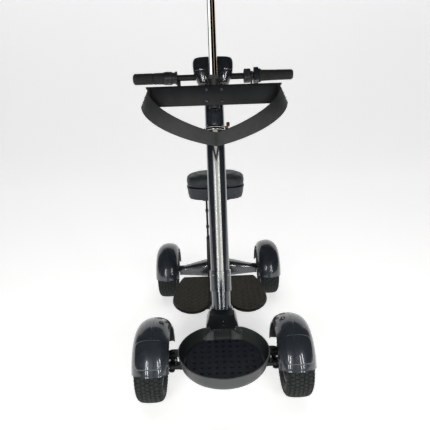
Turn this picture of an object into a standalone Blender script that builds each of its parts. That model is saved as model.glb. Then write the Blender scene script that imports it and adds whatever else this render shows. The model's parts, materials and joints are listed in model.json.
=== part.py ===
"""Electric golf scooter: four wheels, standing deck with seat, telescoping
steering column with a bag plate, strap and tray, and an umbrella pole.

Metres, +Z up.  The front of the scooter points to -Y and the rider faces -Y.
The origin is on the ground under the middle of the whole object."""
import bpy
import bmesh
import math
from mathutils import Matrix, Vector

for ob in list(bpy.data.objects):
    bpy.data.objects.remove(ob, do_unlink=True)

# ------------------------------------------------------------------ dimensions
GAP = 0.0003            # clearance between two pieces that touch

TYRE_R = 0.140          # 11 inch scooter tyre
WHEEL_X = 0.2675        # half the front track
REAR_X = 0.2745         # half the rear track
FRONT_Y = -0.340        # front axle
REAR_Y = 0.484          # rear axle
AXLE_Z = 0.140
SPINDLE_R = 0.0085
WHEEL_SEGS = 24

KING_X = 0.188          # kingpins of the steered front wheels
KING_R = 0.006
ARM = 0.060             # steering arm, kingpin to tie rod
PITMAN = 0.048          # arm on the steering shaft

FEND_X = 0.2560         # middle of a front fender's width
FEND_HW = 0.0680
REAR_FEND_X = 0.2712    # the same for a rear one
REAR_FEND_HW = 0.0618
FEND_T = 0.003

LEAN = math.radians(17.0)   # the column leans back
COL_BASE = Vector((0.0, -0.310, 0.310))
COL_R = 0.0345          # lower tube, outside
SLEEVE_R = 0.03575      # upper sleeve, outside
BAR_S = 0.885           # handlebar, measured up the column axis
BAR_R = 0.0111
POLE_Y = -0.075         # umbrella pole, ahead of the column axis
POLE_R = 0.015
PLATE_Y = -0.0980       # front face of the bag plate
STRAP_AHEAD = 0.2419    # reach of the strap in front of the plate
STRAP_DROOP = math.radians(32.5)

TRAY_Y = -0.4940
TRAY_R = 0.1520
TRAY_Z = 0.2400
TRAY_RIM = 0.0520         # height of the tray's rim over its floor
TRAY_BACK = -0.3583     # flat back of the tray, just ahead of the neck
DECK_Z = 0.1503
SEAT_Y = 0.440
MIDDLE = 0.0020         # shift that centres the whole object over the origin
POST_Y = 0.402

COL = Matrix.Translation(COL_BASE) @ Matrix.Rotation(-LEAN, 4, 'X')
WORLD = Matrix.Identity(4)

MATERIALS = {            # colour, metallic, roughness
    'fender': ((0.045, 0.053, 0.065), 0.3, 0.12),
    'gloss': ((0.012, 0.014, 0.016), 0.2, 0.10),
    'satin': ((0.010, 0.011, 0.013), 0.0, 0.42),
    'frame': ((0.014, 0.015, 0.017), 0.1, 0.35),
    'tray': ((0.050, 0.060, 0.060), 0.0, 0.45),
    'mat': ((0.010, 0.011, 0.016), 0.0, 0.70),
    'rubber': ((0.012, 0.012, 0.012), 0.0, 0.80),
    'tyre': ((0.008, 0.008, 0.008), 0.0, 0.85),
    'chrome': ((0.75, 0.75, 0.74), 1.0, 0.08),
    'steel': ((0.45, 0.45, 0.45), 1.0, 0.30),
    'alu': ((0.35, 0.36, 0.37), 1.0, 0.35),
    'silver': ((0.25, 0.26, 0.27), 0.9, 0.25),
    'strap': ((0.022, 0.024, 0.026), 0.0, 0.60),
    'seat': ((0.022, 0.028, 0.030), 0.0, 0.50),
    'brown': ((0.060, 0.010, 0.008), 0.0, 0.35),
    'screen': ((0.010, 0.012, 0.015), 0.0, 0.06),
    'cell': ((0.020, 0.060, 0.160), 0.0, 0.50),
}


# ------------------------------------------------------------------ modelling
def box(x0, x1, y0, y1, z0, z1):
    bm = bmesh.new()
    bmesh.ops.create_cube(bm, size=1.0)
    for v in bm.verts:
        v.co = Vector((x0 + (v.co.x + 0.5) * (x1 - x0),
                       y0 + (v.co.y + 0.5) * (y1 - y0),
                       z0 + (v.co.z + 0.5) * (z1 - z0)))
    return bm


def loft(rings, closed=False):
    """Skin equal rings; the ends are capped unless the rings close a loop."""
    bm = bmesh.new()
    vs = [[bm.verts.new(p) for p in ring] for ring in rings]
    n = len(vs[0])
    last = len(vs) if closed else len(vs) - 1
    for i in range(last):
        a, b = vs[i], vs[(i + 1) % len(vs)]
        for j in range(n):
            k = (j + 1) % n
            bm.faces.new((a[j], a[k], b[k], b[j]))
    if not closed:
        bm.faces.new(vs[0])
        bm.faces.new(list(reversed(vs[-1])))
    bmesh.ops.recalc_face_normals(bm, faces=bm.faces)
    return bm


def frame_of(direction):
    d = Vector(direction).normalized()
    up = Vector((0, 0, 1)) if abs(d.z) < 0.9 else Vector((1, 0, 0))
    u = up.cross(d).normalized()
    return u, d.cross(u), d


def rod(p0, p1, r, segs=16, r1=None, phase=0.0):
    p0, p1 = Vector(p0), Vector(p1)
    u, v, _ = frame_of(p1 - p0)
    rings = []
    for p, rr in ((p0, r), (p1, r if r1 is None else r1)):
        rings.append([p + (u * math.cos(a) + v * math.sin(a)) * rr
                      for a in (2 * math.pi * k / segs + phase for k in range(segs))])
    return loft(rings)


def ring_of(p0, p1, r_out, r_in, segs=32):
    """A plain tube between two points, open right through."""
    p0, p1 = Vector(p0), Vector(p1)
    u, v, _ = frame_of(p1 - p0)
    rings = []
    for p, rr in ((p0, r_in), (p0, r_out), (p1, r_out), (p1, r_in)):
        rings.append([p + (u * math.cos(a) + v * math.sin(a)) * rr
                      for a in (2 * math.pi * k / segs for k in range(segs))])
    return loft(rings, closed=True)


def lathe_x(profile, segs=WHEEL_SEGS):
    """Turn a closed (x, r) outline about the X axis, a flat at the bottom."""
    k = 1.0 / math.cos(math.pi / segs)
    rings = []
    for x, r in profile:
        rings.append([Vector((x, r * k * math.cos(a), r * k * math.sin(a)))
                      for a in (2 * math.pi * (j + 0.5) / segs for j in range(segs))])
    return loft(rings, closed=True)


def lathe_z(profile, cx, cy, segs=40, poles=False):
    rings = []
    for r, z in profile:
        rings.append([Vector((cx + r * math.cos(a), cy + r * math.sin(a), z))
                      for a in (2 * math.pi * j / segs for j in range(segs))])
    return loft(rings, closed=not poles)


def prism(points, z0, z1):
    return loft([[Vector((x, y, z0)) for x, y in points],
                 [Vector((x, y, z1)) for x, y in points]])


def superellipse(cx, cy, hx, hy, n, count):
    pts = []
    for k in range(count):
        a = 2 * math.pi * k / count
        c, s = math.cos(a), math.sin(a)
        pts.append((cx + hx * math.copysign(abs(c) ** (2 / n), c),
                    cy + hy * math.copysign(abs(s) ** (2 / n), s)))
    return pts


def mirrored(bm):
    out = bm.copy()
    for v in out.verts:
        v.co.x = -v.co.x
    bmesh.ops.reverse_faces(out, faces=out.faces)
    return out


def scratch(bm, matrix=WORLD):
    me = bpy.data.meshes.new('tmp')
    bm.to_mesh(me)
    ob = bpy.data.objects.new('tmp', me)
    bpy.context.scene.collection.objects.link(ob)
    ob.matrix_world = matrix
    return ob


def boolean(base, tool, operation):
    a, b = scratch(base), scratch(tool)
    mod = a.modifiers.new('cut', 'BOOLEAN')
    mod.operation = operation
    mod.solver = 'EXACT'
    mod.object = b
    bpy.context.view_layer.update()
    deps = bpy.context.evaluated_depsgraph_get()
    me = bpy.data.meshes.new_from_object(a.evaluated_get(deps))
    out = bmesh.new()
    out.from_mesh(me)
    for o in (a, b):
        data = o.data
        bpy.data.objects.remove(o, do_unlink=True)
        bpy.data.meshes.remove(data)
    bpy.data.meshes.remove(me)
    bmesh.ops.remove_doubles(out, verts=out.verts, dist=1e-6)
    return out


def fuse(*parts):
    out = parts[0]
    for p in parts[1:]:
        out = boolean(out, p, 'UNION')
    return out


def cut(base, *tools):
    for t in tools:
        base = boolean(base, t, 'DIFFERENCE')
    return base


def colour_of(node, kind):
    rgb, metallic, rough = MATERIALS[kind]
    m = bpy.data.materials.new('mat_' + node)
    m.use_nodes = True
    s = m.node_tree.nodes['Principled BSDF']
    s.inputs['Base Color'].default_value = (*rgb, 1.0)
    s.inputs['Metallic'].default_value = metallic
    s.inputs['Roughness'].default_value = rough
    return m


def piece(name, bm, kind, origin=(0, 0, 0), frame=WORLD, parent=None):
    """One named sub-part; `origin` is given in the same frame as the mesh."""
    o = Vector(origin)
    bmesh.ops.translate(bm, verts=bm.verts, vec=-o)
    me = bpy.data.meshes.new(name)
    bm.to_mesh(me)
    bm.free()
    me.shade_smooth()
    me.set_sharp_from_angle(angle=math.radians(32))
    me.materials.append(colour_of(name, kind))
    ob = bpy.data.objects.new(name, me)
    bpy.context.scene.collection.objects.link(ob)
    place(ob, frame @ Matrix.Translation(o), parent)
    return ob


def place(ob, matrix, parent):
    if parent is None:
        ob.matrix_world = matrix
    else:
        ob.parent = parent
        ob.matrix_parent_inverse = Matrix.Identity(4)
        ob.matrix_basis = parent.matrix_world.inverted() @ matrix
    bpy.context.view_layer.update()


def copy_of(ob, name, kind, matrix, parent=None):
    me = ob.data.copy()
    me.materials.clear()
    me.materials.append(colour_of(name, kind))
    new = bpy.data.objects.new(name, me)
    bpy.context.scene.collection.objects.link(new)
    place(new, matrix, parent)
    return new


def axis_empty(name, matrix, parent=None):
    e = bpy.data.objects.new(name, None)
    e.empty_display_size = 0.05
    bpy.context.scene.collection.objects.link(e)
    place(e, matrix, parent)
    return e


def on_col(x, y, s):
    return COL @ Vector((x, y, s))


# ------------------------------------------------------------------ joint axes
ax_frame = axis_empty('axis_frame', WORLD)
ax_upper = axis_empty('axis_column_slide', COL @ Matrix.Translation((0, 0, 0.70)), ax_frame)
ax_steer = axis_empty('axis_steering', COL @ Matrix.Translation((0, 0, BAR_S)), ax_upper)
ax_shaft = axis_empty('axis_steering_shaft', COL, ax_frame)
ax_seat = axis_empty('axis_seat', Matrix.Translation((0, POST_Y, 0.39)), ax_frame)
ax_king = {}
for side, sx in (('left', 1), ('right', -1)):
    ax_king[side] = axis_empty('axis_kingpin_' + side,
                               Matrix.Translation((sx * KING_X, FRONT_Y, AXLE_Z)), ax_frame)

# ------------------------------------------------------------------ main frame
spine = cut(box(-0.0375, 0.0375, FRONT_Y + 0.0183, 0.4386, 0.1100, 0.1500),
            box(-0.0340, 0.0340, -0.40, 0.50, 0.1135, 0.1465))
riser = loft([[Vector((x, y, z)) for x, y in
               ((-hw, y0), (hw, y0), (hw, y1), (-hw, y1))]
              for hw, y0, y1, z in ((0.034, -0.300, -0.200, 0.1480),
                                    (0.034, -0.300, -0.225, 0.200),
                                    (0.034, -0.300, -0.236, 0.2547))])
bar_l = box(0.030, 0.052, -0.570, -0.245, 0.2215, 0.2397)
frame_body = fuse(spine, riser, bar_l, mirrored(bar_l))
piece('frame_spine', frame_body, 'frame', (0, 0, 0.13), parent=ax_frame)

# front axle beam with a yoke and a kingpin at each end
def capsule(x_in, x_c, r, z0, z1, segs=10):
    pts = [(x_in, FRONT_Y - r), (x_in, FRONT_Y + r)]
    for k in range(segs + 1):
        a = math.pi / 2 - math.pi * k / segs
        pts.append((x_c + r * math.cos(a), FRONT_Y + r * math.sin(a)))
    return prism(list(reversed(pts)), z0, z1)


beam = box(-0.1530, 0.1530, FRONT_Y - 0.018, FRONT_Y + 0.018, 0.122, 0.158)
for sx in (1, -1):
    side_parts = [box(0.149, 0.1635, FRONT_Y - 0.020, FRONT_Y + 0.020, 0.1178, 0.1823),
                  capsule(0.155, KING_X, 0.0178, 0.1720, 0.1820),
                  capsule(0.155, KING_X, 0.0178, 0.1180, 0.1280),
                  rod((KING_X, FRONT_Y, 0.1150), (KING_X, FRONT_Y, 0.1850), KING_R, 14),
                  rod((KING_X, FRONT_Y, 0.1815), (KING_X, FRONT_Y, 0.1853), 0.0095, 6),
                  rod((KING_X, FRONT_Y, 0.1147), (KING_X, FRONT_Y, 0.1185), 0.0095, 6)]
    for p in side_parts:
        beam = fuse(beam, p if sx == 1 else mirrored(p))
piece('front_axle_beam', beam, 'satin', (0, FRONT_Y, AXLE_Z), parent=ax_frame)

# bell-shaped neck casting around the foot of the column
def bell_ring(t):
    """t 0 at the tray, 1 at the column: a superellipse that becomes a circle."""
    z = 0.2550 + t * 0.0905
    axis_y = COL_BASE.y + (z - COL_BASE.z) * math.tan(LEAN)
    w = 0.0375 + (0.0635 - 0.0375) * math.cos(t * math.pi / 2) ** 0.9
    if t > 0.999:
        w = 0.0375
    front = -0.3568 if z < 0.296 else axis_y - 0.0375 / math.cos(LEAN) - 0.0
    front = max(front, -0.3568)
    rear = axis_y + 0.0385 + 0.043 * (1 - t) ** 1.5
    n = 3.2 - 1.2 * t
    return [Vector((x, y, z)) for x, y in
            superellipse(0, (front + rear) / 2, w, (rear - front) / 2, n, 28)]


bell = loft([bell_ring(t) for t in (0, 0.25, 0.5, 0.75, 0.92, 1.0)])
bore = rod((0, 0, -0.0353), (0, 0, 0.10), COL_R + GAP, 32)
passage = rod((0, 0, -0.12), (0, 0, -0.02), 0.0170, 24)
for t in (bore, passage):
    bmesh.ops.transform(t, matrix=COL, verts=t.verts)
bell = cut(bell, bore, passage)
piece('neck_shroud', bell, 'gloss', (0, -0.31, 0.30), parent=ax_frame)

# small housing on the front of the neck, with a lip along its top
hb = [(-0.3740, 0.2935), (-0.3576, 0.2935), (-0.3576, 0.2975), (-0.3438, 0.3355),
      (-0.3438, 0.3500), (-0.3765, 0.3500), (-0.3765, 0.3445), (-0.3740, 0.3440)]
nb = loft([[Vector((x, y, z)) for y, z in hb] for x in (-0.0440, 0.0440)])
nb = fuse(nb, *[rod((0.0050, -0.3735, z), (0.0050, -0.3758, z), 0.0032, 8) for z in (0.3050, 0.3240)])
piece('neck_box', nb, 'satin', (0, -0.365, 0.315), parent=ax_frame)

# bag tray: round, with a flat back
def tray_turn(profile, segs):
    bm = lathe_z(profile, 0, TRAY_Y, segs, poles=True)
    k = 0
    bm.verts.ensure_lookup_table()
    for r, z in profile:
        for v in bm.verts[k:k + segs]:
            v.co.y = min(v.co.y, TRAY_BACK - (TRAY_R - r))
        k += segs
    return bm


tray = tray_turn([(0.040, TRAY_Z), (0.1320, TRAY_Z), (0.1440, TRAY_Z + 0.012), (0.1496, TRAY_Z + TRAY_RIM - 0.0070),
                  (TRAY_R, TRAY_Z + TRAY_RIM - 0.0045), (TRAY_R, TRAY_Z + TRAY_RIM), (0.1479, TRAY_Z + TRAY_RIM),
                  (0.1410, TRAY_Z + 0.0120), (0.1320, TRAY_Z + 0.0040), (0.040, TRAY_Z + 0.0040)], 36)
for sx in (1, -1):
    rings = []
    for x, y, z in ((0.0290, -0.3815, 0.2850), (0.0480, -0.3815, 0.2770), (0.0660, -0.3815, 0.2650)):
        rings.append([Vector((sx * x, a, b)) for a, b in
                      ((y, TRAY_Z + 0.0020), (y, TRAY_Z + 0.0060), (-0.3690, z), (-0.3655, z),
                       (-0.3704, TRAY_Z + 0.0100), (-0.3790, TRAY_Z + 0.0024))])
    tray = fuse(tray, loft(rings))
piece('bag_tray', tray, 'tray', (0, TRAY_Y, TRAY_Z), parent=ax_frame)
mat = tray_turn([(0.1280, TRAY_Z + 0.004 + GAP), (0.1280, TRAY_Z + 0.0125),
                 (0.1262, TRAY_Z + 0.0145)], 36)
piece('tray_mat', mat, 'mat', (0, TRAY_Y, TRAY_Z + 0.005), parent=ax_frame)

# standing deck and its rubber mats
def pad_outline(grow=0.0):
    """One foot pad seen from above, on the +X side."""
    pts = [(0.0480, 0.345), (0.0480, 0.078), (0.0560, 0.040), (0.0720, 0.012), (0.0950, -0.006),
           (0.1200, -0.013), (0.1480, -0.007), (0.1740, 0.010), (0.1960, 0.036), (0.2120, 0.066),
           (0.2205, 0.100), (0.2215, 0.140), (0.2180, 0.190), (0.2110, 0.240), (0.2010, 0.290),
           (0.1900, 0.330), (0.1800, 0.345)]
    return pts


half = pad_outline()
deck_pts = [(x + (0.0025 if x > 0.1 else 0), y - (0.003 if y < 0.06 else 0)) for x, y in half[1:]]
deck_pts[-1] = (0.1830, 0.3500)
outline = deck_pts + [(-x, y) for x, y in reversed(deck_pts)]
deck = prism(outline, DECK_Z, DECK_Z + 0.006)
for x in (-0.030, 0.030):
    for y in (0.110, 0.320):
        deck = fuse(deck, rod((x, y, DECK_Z + 0.004), (x, y, DECK_Z + 0.0100), 0.0055, 8))
piece('deck_plate', deck, 'frame', (0, 0.18, DECK_Z), parent=ax_frame)
for side, sx in (('left', 1), ('right', -1)):
    bm = prism(half, DECK_Z + 0.006 + GAP, DECK_Z + 0.0150)
    piece('foot_mat_' + side, bm if sx == 1 else mirrored(bm), 'rubber',
          (sx * 0.13, 0.17, DECK_Z + 0.0063), parent=ax_frame)

# battery case under the deck, open at the top, with the pack and the controller
case = cut(box(-0.130, 0.130, 0.170, 0.370, 0.0680, 0.1097),
           box(-0.1265, 0.1265, 0.1735, 0.3665, 0.0720, 0.1300))
piece('battery_case', case, 'frame', (0, 0.27, 0.068), parent=ax_frame)
piece('battery_pack', box(-0.120, 0.120, 0.178, 0.306, 0.0720 + GAP, 0.1060), 'cell', (0, 0.24, 0.09),
      parent=ax_frame)
piece('motor_controller', box(-0.055, 0.055, 0.314, 0.362, 0.0720 + GAP, 0.0980), 'alu', (0, 0.338, 0.085),
      parent=ax_frame)

# rear axle housing, its arms tapering to the wheels
def arm_ring(x, hy, z0, z1, n=3.0, count=14):
    return [Vector((x, y, z)) for y, z in
            superellipse(REAR_Y, (z0 + z1) / 2, hy, (z1 - z0) / 2, n, count)]


arm_sections = [(0.0, 0.0450, 0.108, 0.2000), (0.050, 0.0450, 0.108, 0.1990), (0.085, 0.0400, 0.110, 0.1930),
                (0.130, 0.0320, 0.113, 0.1820), (0.175, 0.0260, 0.116, 0.1710), (0.2118, 0.0235, 0.1185, 0.1655)]
housing = loft([arm_ring(-x, hy, a, b) for x, hy, a, b in reversed(arm_sections)] +
               [arm_ring(x, hy, a, b) for x, hy, a, b in arm_sections[1:]])
stub = rod((-0.307, REAR_Y, AXLE_Z), (0.307, REAR_Y, AXLE_Z), SPINDLE_R, 16)
housing = fuse(housing, stub)
for sx in (1, -1):
    housing = fuse(housing, rod((sx * 0.3055, REAR_Y, AXLE_Z), (sx * 0.3150, REAR_Y, AXLE_Z), 0.0125, 6))
piece('rear_axle_housing', housing, 'silver', (0, REAR_Y, AXLE_Z), parent=ax_frame)

# seat pillar with its split clamp, and the bores for the post and the cable sleeve
pillar = loft([[Vector((x, y, z)) for x, y in superellipse(0, POST_Y, hx, hy, 6, 16)]
               for hx, hy, z in ((0.0585, 0.0365, DECK_Z), (0.0580, 0.0350, 0.260), (0.0565, 0.0320, 0.3640))])
clamp = rod((0, POST_Y, 0.355), (0, POST_Y, 0.3900), 0.0240, 24)
ear = box(-0.0075, 0.0075, POST_Y + 0.020, POST_Y + 0.0400, 0.3640, 0.3860)
bolt = rod((-0.0150, POST_Y + 0.0310, 0.3760), (0.0150, POST_Y + 0.0310, 0.3760), 0.0040, 10)
pillar = fuse(pillar, clamp, ear, bolt)
pillar = cut(pillar, rod((0, POST_Y, 0.1700), (0, POST_Y, 0.4200), 0.0163, 24),
             rod((-0.0480, 0.3860, 0.2000), (-0.0480, 0.3860, 0.4200), 0.0060, 12),
             box(-0.0012, 0.0012, POST_Y + 0.010, POST_Y + 0.0450, 0.3660, 0.4000))
piece('seat_pillar', pillar, 'satin', (0, POST_Y, 0.16), parent=ax_frame)

# ------------------------------------------------------------------ fenders
def fender(radius, half_w, a0, a1, steps, droop=0.0):
    """A domed shell for the +X side, rounder outside than towards the frame."""
    kw, kr = half_w / 0.0680, radius / 0.1665
    skin = [(-x * kw, d * kr) for x, d in ((0.0655, 0.0345), (0.0620, 0.0265), (0.0540, 0.0160),
                                           (0.0400, 0.0070), (0.0200, 0.0013))]
    skin += [(half_w * math.sin(t), 0.060 * kr * (1 - math.cos(t)))
             for t in (math.radians(d) for d in (0, 22, 42, 58, 71, 80))]
    lining = []
    for i, (x, d) in enumerate(skin):
        a, b = skin[max(i - 1, 0)], skin[min(i + 1, len(skin) - 1)]
        tx, td = b[0] - a[0], b[1] - a[1]
        n = math.hypot(tx, td)
        lining.append((x - FEND_T * td / n, d + FEND_T * tx / n))
    prof = skin + list(reversed(lining))
    rings = []
    for k in range(steps + 1):
        ring = []
        for x, d in prof:         # the tail hangs lower in the middle than at its sides
            tail = droop * max(0.0, 1 - d / (0.030 * kr)) if k == steps else 0.0
            a = math.radians(a0 + (a1 - a0) * k / steps + tail)
            ring.append(Vector((x, -(radius - d) * math.cos(a), (radius - d) * math.sin(a))))
        rings.append(ring)
    return loft(rings)


def moved(bm, x, y, z):
    bmesh.ops.translate(bm, verts=bm.verts, vec=(x, y, z))
    return bm


for side, sx in (('left', 1), ('right', -1)):
    f = moved(fender(0.1665, FEND_HW, 18, 180, 13, 8.0), FEND_X, FRONT_Y, AXLE_Z)
    piece('front_fender_' + side, f if sx == 1 else mirrored(f), 'fender',
          (sx * KING_X, FRONT_Y, AXLE_Z), parent=ax_king[side])
    f = moved(fender(0.1580, REAR_FEND_HW, 4, 180, 14), REAR_FEND_X, REAR_Y, AXLE_Z)
    stay = box(0.2122, 0.2158, REAR_Y - 0.014, REAR_Y + 0.014, 0.1510, 0.2690)
    f = fuse(f, stay)
    piece('rear_fender_' + side, f if sx == 1 else mirrored(f), 'fender',
          (sx * REAR_FEND_X, REAR_Y, AXLE_Z), parent=ax_frame)

# ------------------------------------------------------------------ steered front knuckles
knuckle = box(KING_X - 0.016, KING_X + 0.016, -0.018, 0.018, 0.1285, 0.1715)
knuckle = fuse(knuckle,
               box(KING_X - 0.010, KING_X + 0.010, -ARM - 0.010, -0.010, 0.1440, 0.1520),
               rod((0.2030, 0, AXLE_Z), (0.2140, 0, AXLE_Z), 0.0112, 20),
               rod((0.2000, 0, AXLE_Z), (0.3000, 0, AXLE_Z), SPINDLE_R, 16),
               rod((0.2985, 0, AXLE_Z), (0.3080, 0, AXLE_Z), 0.0125, 6),
               box(0.2075, 0.2115, -0.012, 0.012, 0.1300, 0.2880),
               loft([[Vector((x, y, z)) for y, z in
                      ((-0.012, low), (0.012, low), (0.012, low + 0.0034), (-0.012, low + 0.0034))]
                     for x, low in ((0.2080, 0.2850), (0.2400, 0.2945))]),
               rod((0.2063, 0, 0.2780), (0.2090, 0, 0.2780), 0.0050, 10),
               rod((KING_X - 0.0105, -0.0160, 0.1617), (KING_X - 0.0105, -0.0210, 0.1617), 0.0050, 6),
               rod((KING_X + 0.0105, -0.0160, 0.1617), (KING_X + 0.0105, -0.0210, 0.1617), 0.0050, 6))
knuckle = cut(knuckle, rod((KING_X, 0, 0.080), (KING_X, 0, 0.220), KING_R + GAP, 14),
              rod((KING_X, -ARM, 0.120), (KING_X, -ARM, 0.160), 0.0062, 14))
moved(knuckle, 0, FRONT_Y, 0)
right = mirrored(knuckle)
piece('knuckle_left', knuckle, 'satin', (KING_X, FRONT_Y, AXLE_Z), parent=ax_king['left'])
piece('knuckle_right', right, 'satin', (-KING_X, FRONT_Y, AXLE_Z), parent=ax_king['right'])

# ------------------------------------------------------------------ wheels
tyre_prof = [(0.0260, 0.0855), (0.0355, 0.0860), (0.0490, 0.1060), (0.0482, 0.1220), (0.0370, 0.1365),
             (0.0, 0.1400), (-0.0370, 0.1365), (-0.0482, 0.1220), (-0.0490, 0.1060), (-0.0355, 0.0860),
             (-0.0260, 0.0855), (-0.0365, 0.1180), (0.0365, 0.1180)]
front_rim_prof = [(-0.0370, 0.0850), (0.0370, 0.0850), (0.0370, 0.0790), (0.0060, 0.0710), (0.0070, 0.0280),
                  (0.0280, 0.0240), (0.0280, SPINDLE_R + GAP), (-0.0360, SPINDLE_R + GAP), (-0.0360, 0.0240),
                  (-0.0070, 0.0280), (-0.0060, 0.0710), (-0.0370, 0.0790)]
rear_rim_prof = [(-0.0370, 0.0850), (0.0370, 0.0850), (0.0370, 0.0800), (0.0250, 0.0740),
                 (0.0290, 0.0300), (0.0290, SPINDLE_R + GAP), (-0.0340, SPINDLE_R + GAP),
                 (-0.0340, 0.0300), (-0.0250, 0.0740), (-0.0370, 0.0800)]
first = None
for end, x, y, prof in (('front', WHEEL_X, FRONT_Y, front_rim_prof), ('rear', REAR_X, REAR_Y, rear_rim_prof)):
    for side, sx in (('left', 1), ('right', -1)):
        at = Matrix.Translation((sx * x, y, AXLE_Z))
        par = ax_king[side] if end == 'front' else ax_frame
        ax = axis_empty('axis_wheel_%s_%s' % (end, side), at, par)
        if first is None:
            first = piece('tyre_front_left', lathe_x(tyre_prof), 'tyre', frame=at, parent=ax)
        else:
            copy_of(first, 'tyre_%s_%s' % (end, side), 'tyre', at, ax)
        r = lathe_x(prof)
        piece('rim_%s_%s' % (end, side), r if sx == 1 else mirrored(r), 'alu', frame=at, parent=ax)

# ------------------------------------------------------------------ column, fixed part
piece('column_lower', ring_of((0, 0, -0.035), (0, 0, 0.8480), COL_R, COL_R - 0.0025, 32), 'gloss',
      (0, 0, 0), COL, ax_frame)
piece('column_base_sleeve', ring_of((0, 0, 0.0930), (0, 0, 0.1690), 0.0392, COL_R + GAP, 32), 'gloss',
      (0, 0, 0.13), COL, ax_frame)

piece('steering_bearing', ring_of((0, 0, 0.8220), (0, 0, 0.8420), COL_R - 0.0025 - GAP, 0.0120 + GAP, 24), 'steel',
      (0, 0, 0.832), COL, ax_frame)

# steering shaft inside the column, with the pitman arm below it
shaft = fuse(rod((0, 0, -0.130), (0, 0, 0.720), 0.0160, 20),
             box(-0.0100, 0.0100, -PITMAN - 0.010, 0.0, -0.130, -0.1150),
             rod((0, -PITMAN, -0.125), (0, -PITMAN, -0.1580), 0.0040, 12))
shaft = cut(shaft, rod((0, 0, 0.020), (0, 0, 0.800), 0.0125, 20))
piece('steering_shaft_lower', shaft, 'steel', (0, 0, 0), COL, ax_shaft)

# tie rods: each has an eye on the pitman's pin and a stud down through the steering arm
for side, sx, s in (('left', 1, -0.1505), ('right', -1, -0.1365)):
    eye_at = on_col(0, -PITMAN, s)
    d = (on_col(0, 0, 1) - on_col(0, 0, 0)).normalized()
    end = Vector((sx * KING_X, FRONT_Y - ARM, 0.1617))
    tie = fuse(rod(eye_at - d * 0.0033, eye_at + d * 0.0033, 0.0085, 20),
               rod(eye_at + Vector((sx * 0.004, 0, -0.0006)), end, 0.0038, 10),
               rod(end - Vector((0, 0, 0.0062)), end + Vector((0, 0, 0.0063)), 0.0075, 16),
               rod(end, end - Vector((0, 0, 0.0200)), 0.0040, 12))
    tie = cut(tie, rod(eye_at - d * 0.02, eye_at + d * 0.02, 0.0043, 12))
    piece('tie_rod_' + side, tie, 'steel', eye_at, parent=ax_shaft)

# ------------------------------------------------------------------ column, sliding part
col_u = fuse(rod((0, 0, 0.7003), (0, 0, 0.8495), SLEEVE_R, 32),
             box(0.0216, 0.0300, -0.0952, -0.0150, 0.7620, 0.8180),
             box(-0.0300, -0.0216, -0.0952, -0.0150, 0.7620, 0.8180))
col_u = cut(col_u, rod((0, 0, 0.60), (0, 0, 0.95), COL_R + GAP, 32))
piece('column_upper', col_u, 'gloss', (0, 0, 0.78), COL, ax_upper)

collar = fuse(ring_of((0, 0, 0.6840), (0, 0, 0.7000), 0.0388, COL_R + GAP, 32),
              box(0.0372, 0.0500, 0.0060, 0.0180, 0.6860, 0.6980))
collar = cut(collar, rod((0.0440, 0.0120, 0.67), (0.0440, 0.0120, 0.72), 0.0034, 12))
piece('column_collar', collar, 'chrome', (0, 0, 0.69), COL, ax_upper)
lever = fuse(rod((0.0440, 0.0120, 0.6800), (0.0440, 0.0120, 0.7040), 0.0031, 12),
             rod((0.0440, 0.0120, 0.6983), (0.0440, 0.0120, 0.7040), 0.0062, 14),
             loft([[Vector((x, y, z)) for x, y in ((0.0400, 0.0120), (0.0480, 0.0120),
                                                   (0.0500, -0.0260), (0.0445, -0.0260))]
                   for z in (0.6984, 0.7036)]),
             rod((0.0475, -0.0270, 0.6940), (0.0475, -0.0270, 0.7100), 0.0064, 14))
piece('quick_release_lever', lever, 'brown', (0.0440, 0.0120, 0.70), COL, ax_upper)

# bag plate: an L section, its top flange notched for the umbrella pole
plate = fuse(box(-0.2205, 0.2205, PLATE_Y, PLATE_Y + 0.0025, 0.7550, 0.8260),
             box(0.0225, 0.2385, PLATE_Y, PLATE_Y + 0.0270, 0.8235, 0.8265),
             box(-0.2385, -0.0225, PLATE_Y, PLATE_Y + 0.0270, 0.8235, 0.8265),
             box(-0.0300, 0.0300, PLATE_Y, PLATE_Y + 0.0026, 0.8200, 0.8265))
for x in (-0.0270, 0.0270):
    for z in (0.7700, 0.8100):
        plate = fuse(plate, rod((x, PLATE_Y + 0.0010, z), (x, PLATE_Y - 0.0040, z), 0.0062, 10))
piece('bag_plate', plate, 'satin', (0, PLATE_Y, 0.79), COL, ax_upper)

# bag strap: a stiff band that leaves the plate's ends and hangs in front
def strap_rings(count=21, half_h=0.0339, t=0.0030):
    """The band leans out at the middle and back at its ends, and both ends turn in to the plate."""
    start = on_col(0, PLATE_Y - 0.003, 0.792)
    ahead = Vector((0, -math.cos(STRAP_DROOP), -math.sin(STRAP_DROOP)))
    path = []
    for k in range(count):
        u = -1 + 2 * k / (count - 1)
        x = 0.2412 * math.sin(u * math.pi / 2)
        a = STRAP_AHEAD * max(0.0, 1 - (abs(x) / 0.2432) ** 1.204) ** 0.5535
        w = abs(u)
        up = Vector((-0.11 * u, -1.01 * (1 - w) + 0.49 * w, 1.0)).normalized()
        path.append((start + Vector((x, 0, 0)) + ahead * a, up, half_h))
    column_up = (on_col(0, 0, 1) - on_col(0, 0, 0)).normalized()
    path.insert(0, (on_col(-0.2228, PLATE_Y - 0.0005, 0.7900), column_up, 0.0305))
    path.append((on_col(0.2228, PLATE_Y - 0.0005, 0.7900), column_up, 0.0305))
    rings = []
    for i, (c, up, hh) in enumerate(path):
        tan = (path[min(i + 1, len(path) - 1)][0] - path[max(i - 1, 0)][0]).normalized()
        nrm = tan.cross(up).normalized()
        if 0 < i < len(path) - 1:      # the two ends stay upright beside the plate
            up = nrm.cross(tan).normalized()
        rings.append([c + up * sy * hh + nrm * sn * t / 2
                      for sy, sn in ((-1, -1), (-1, 1), (1, 1), (1, -1))])
    return rings


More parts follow.
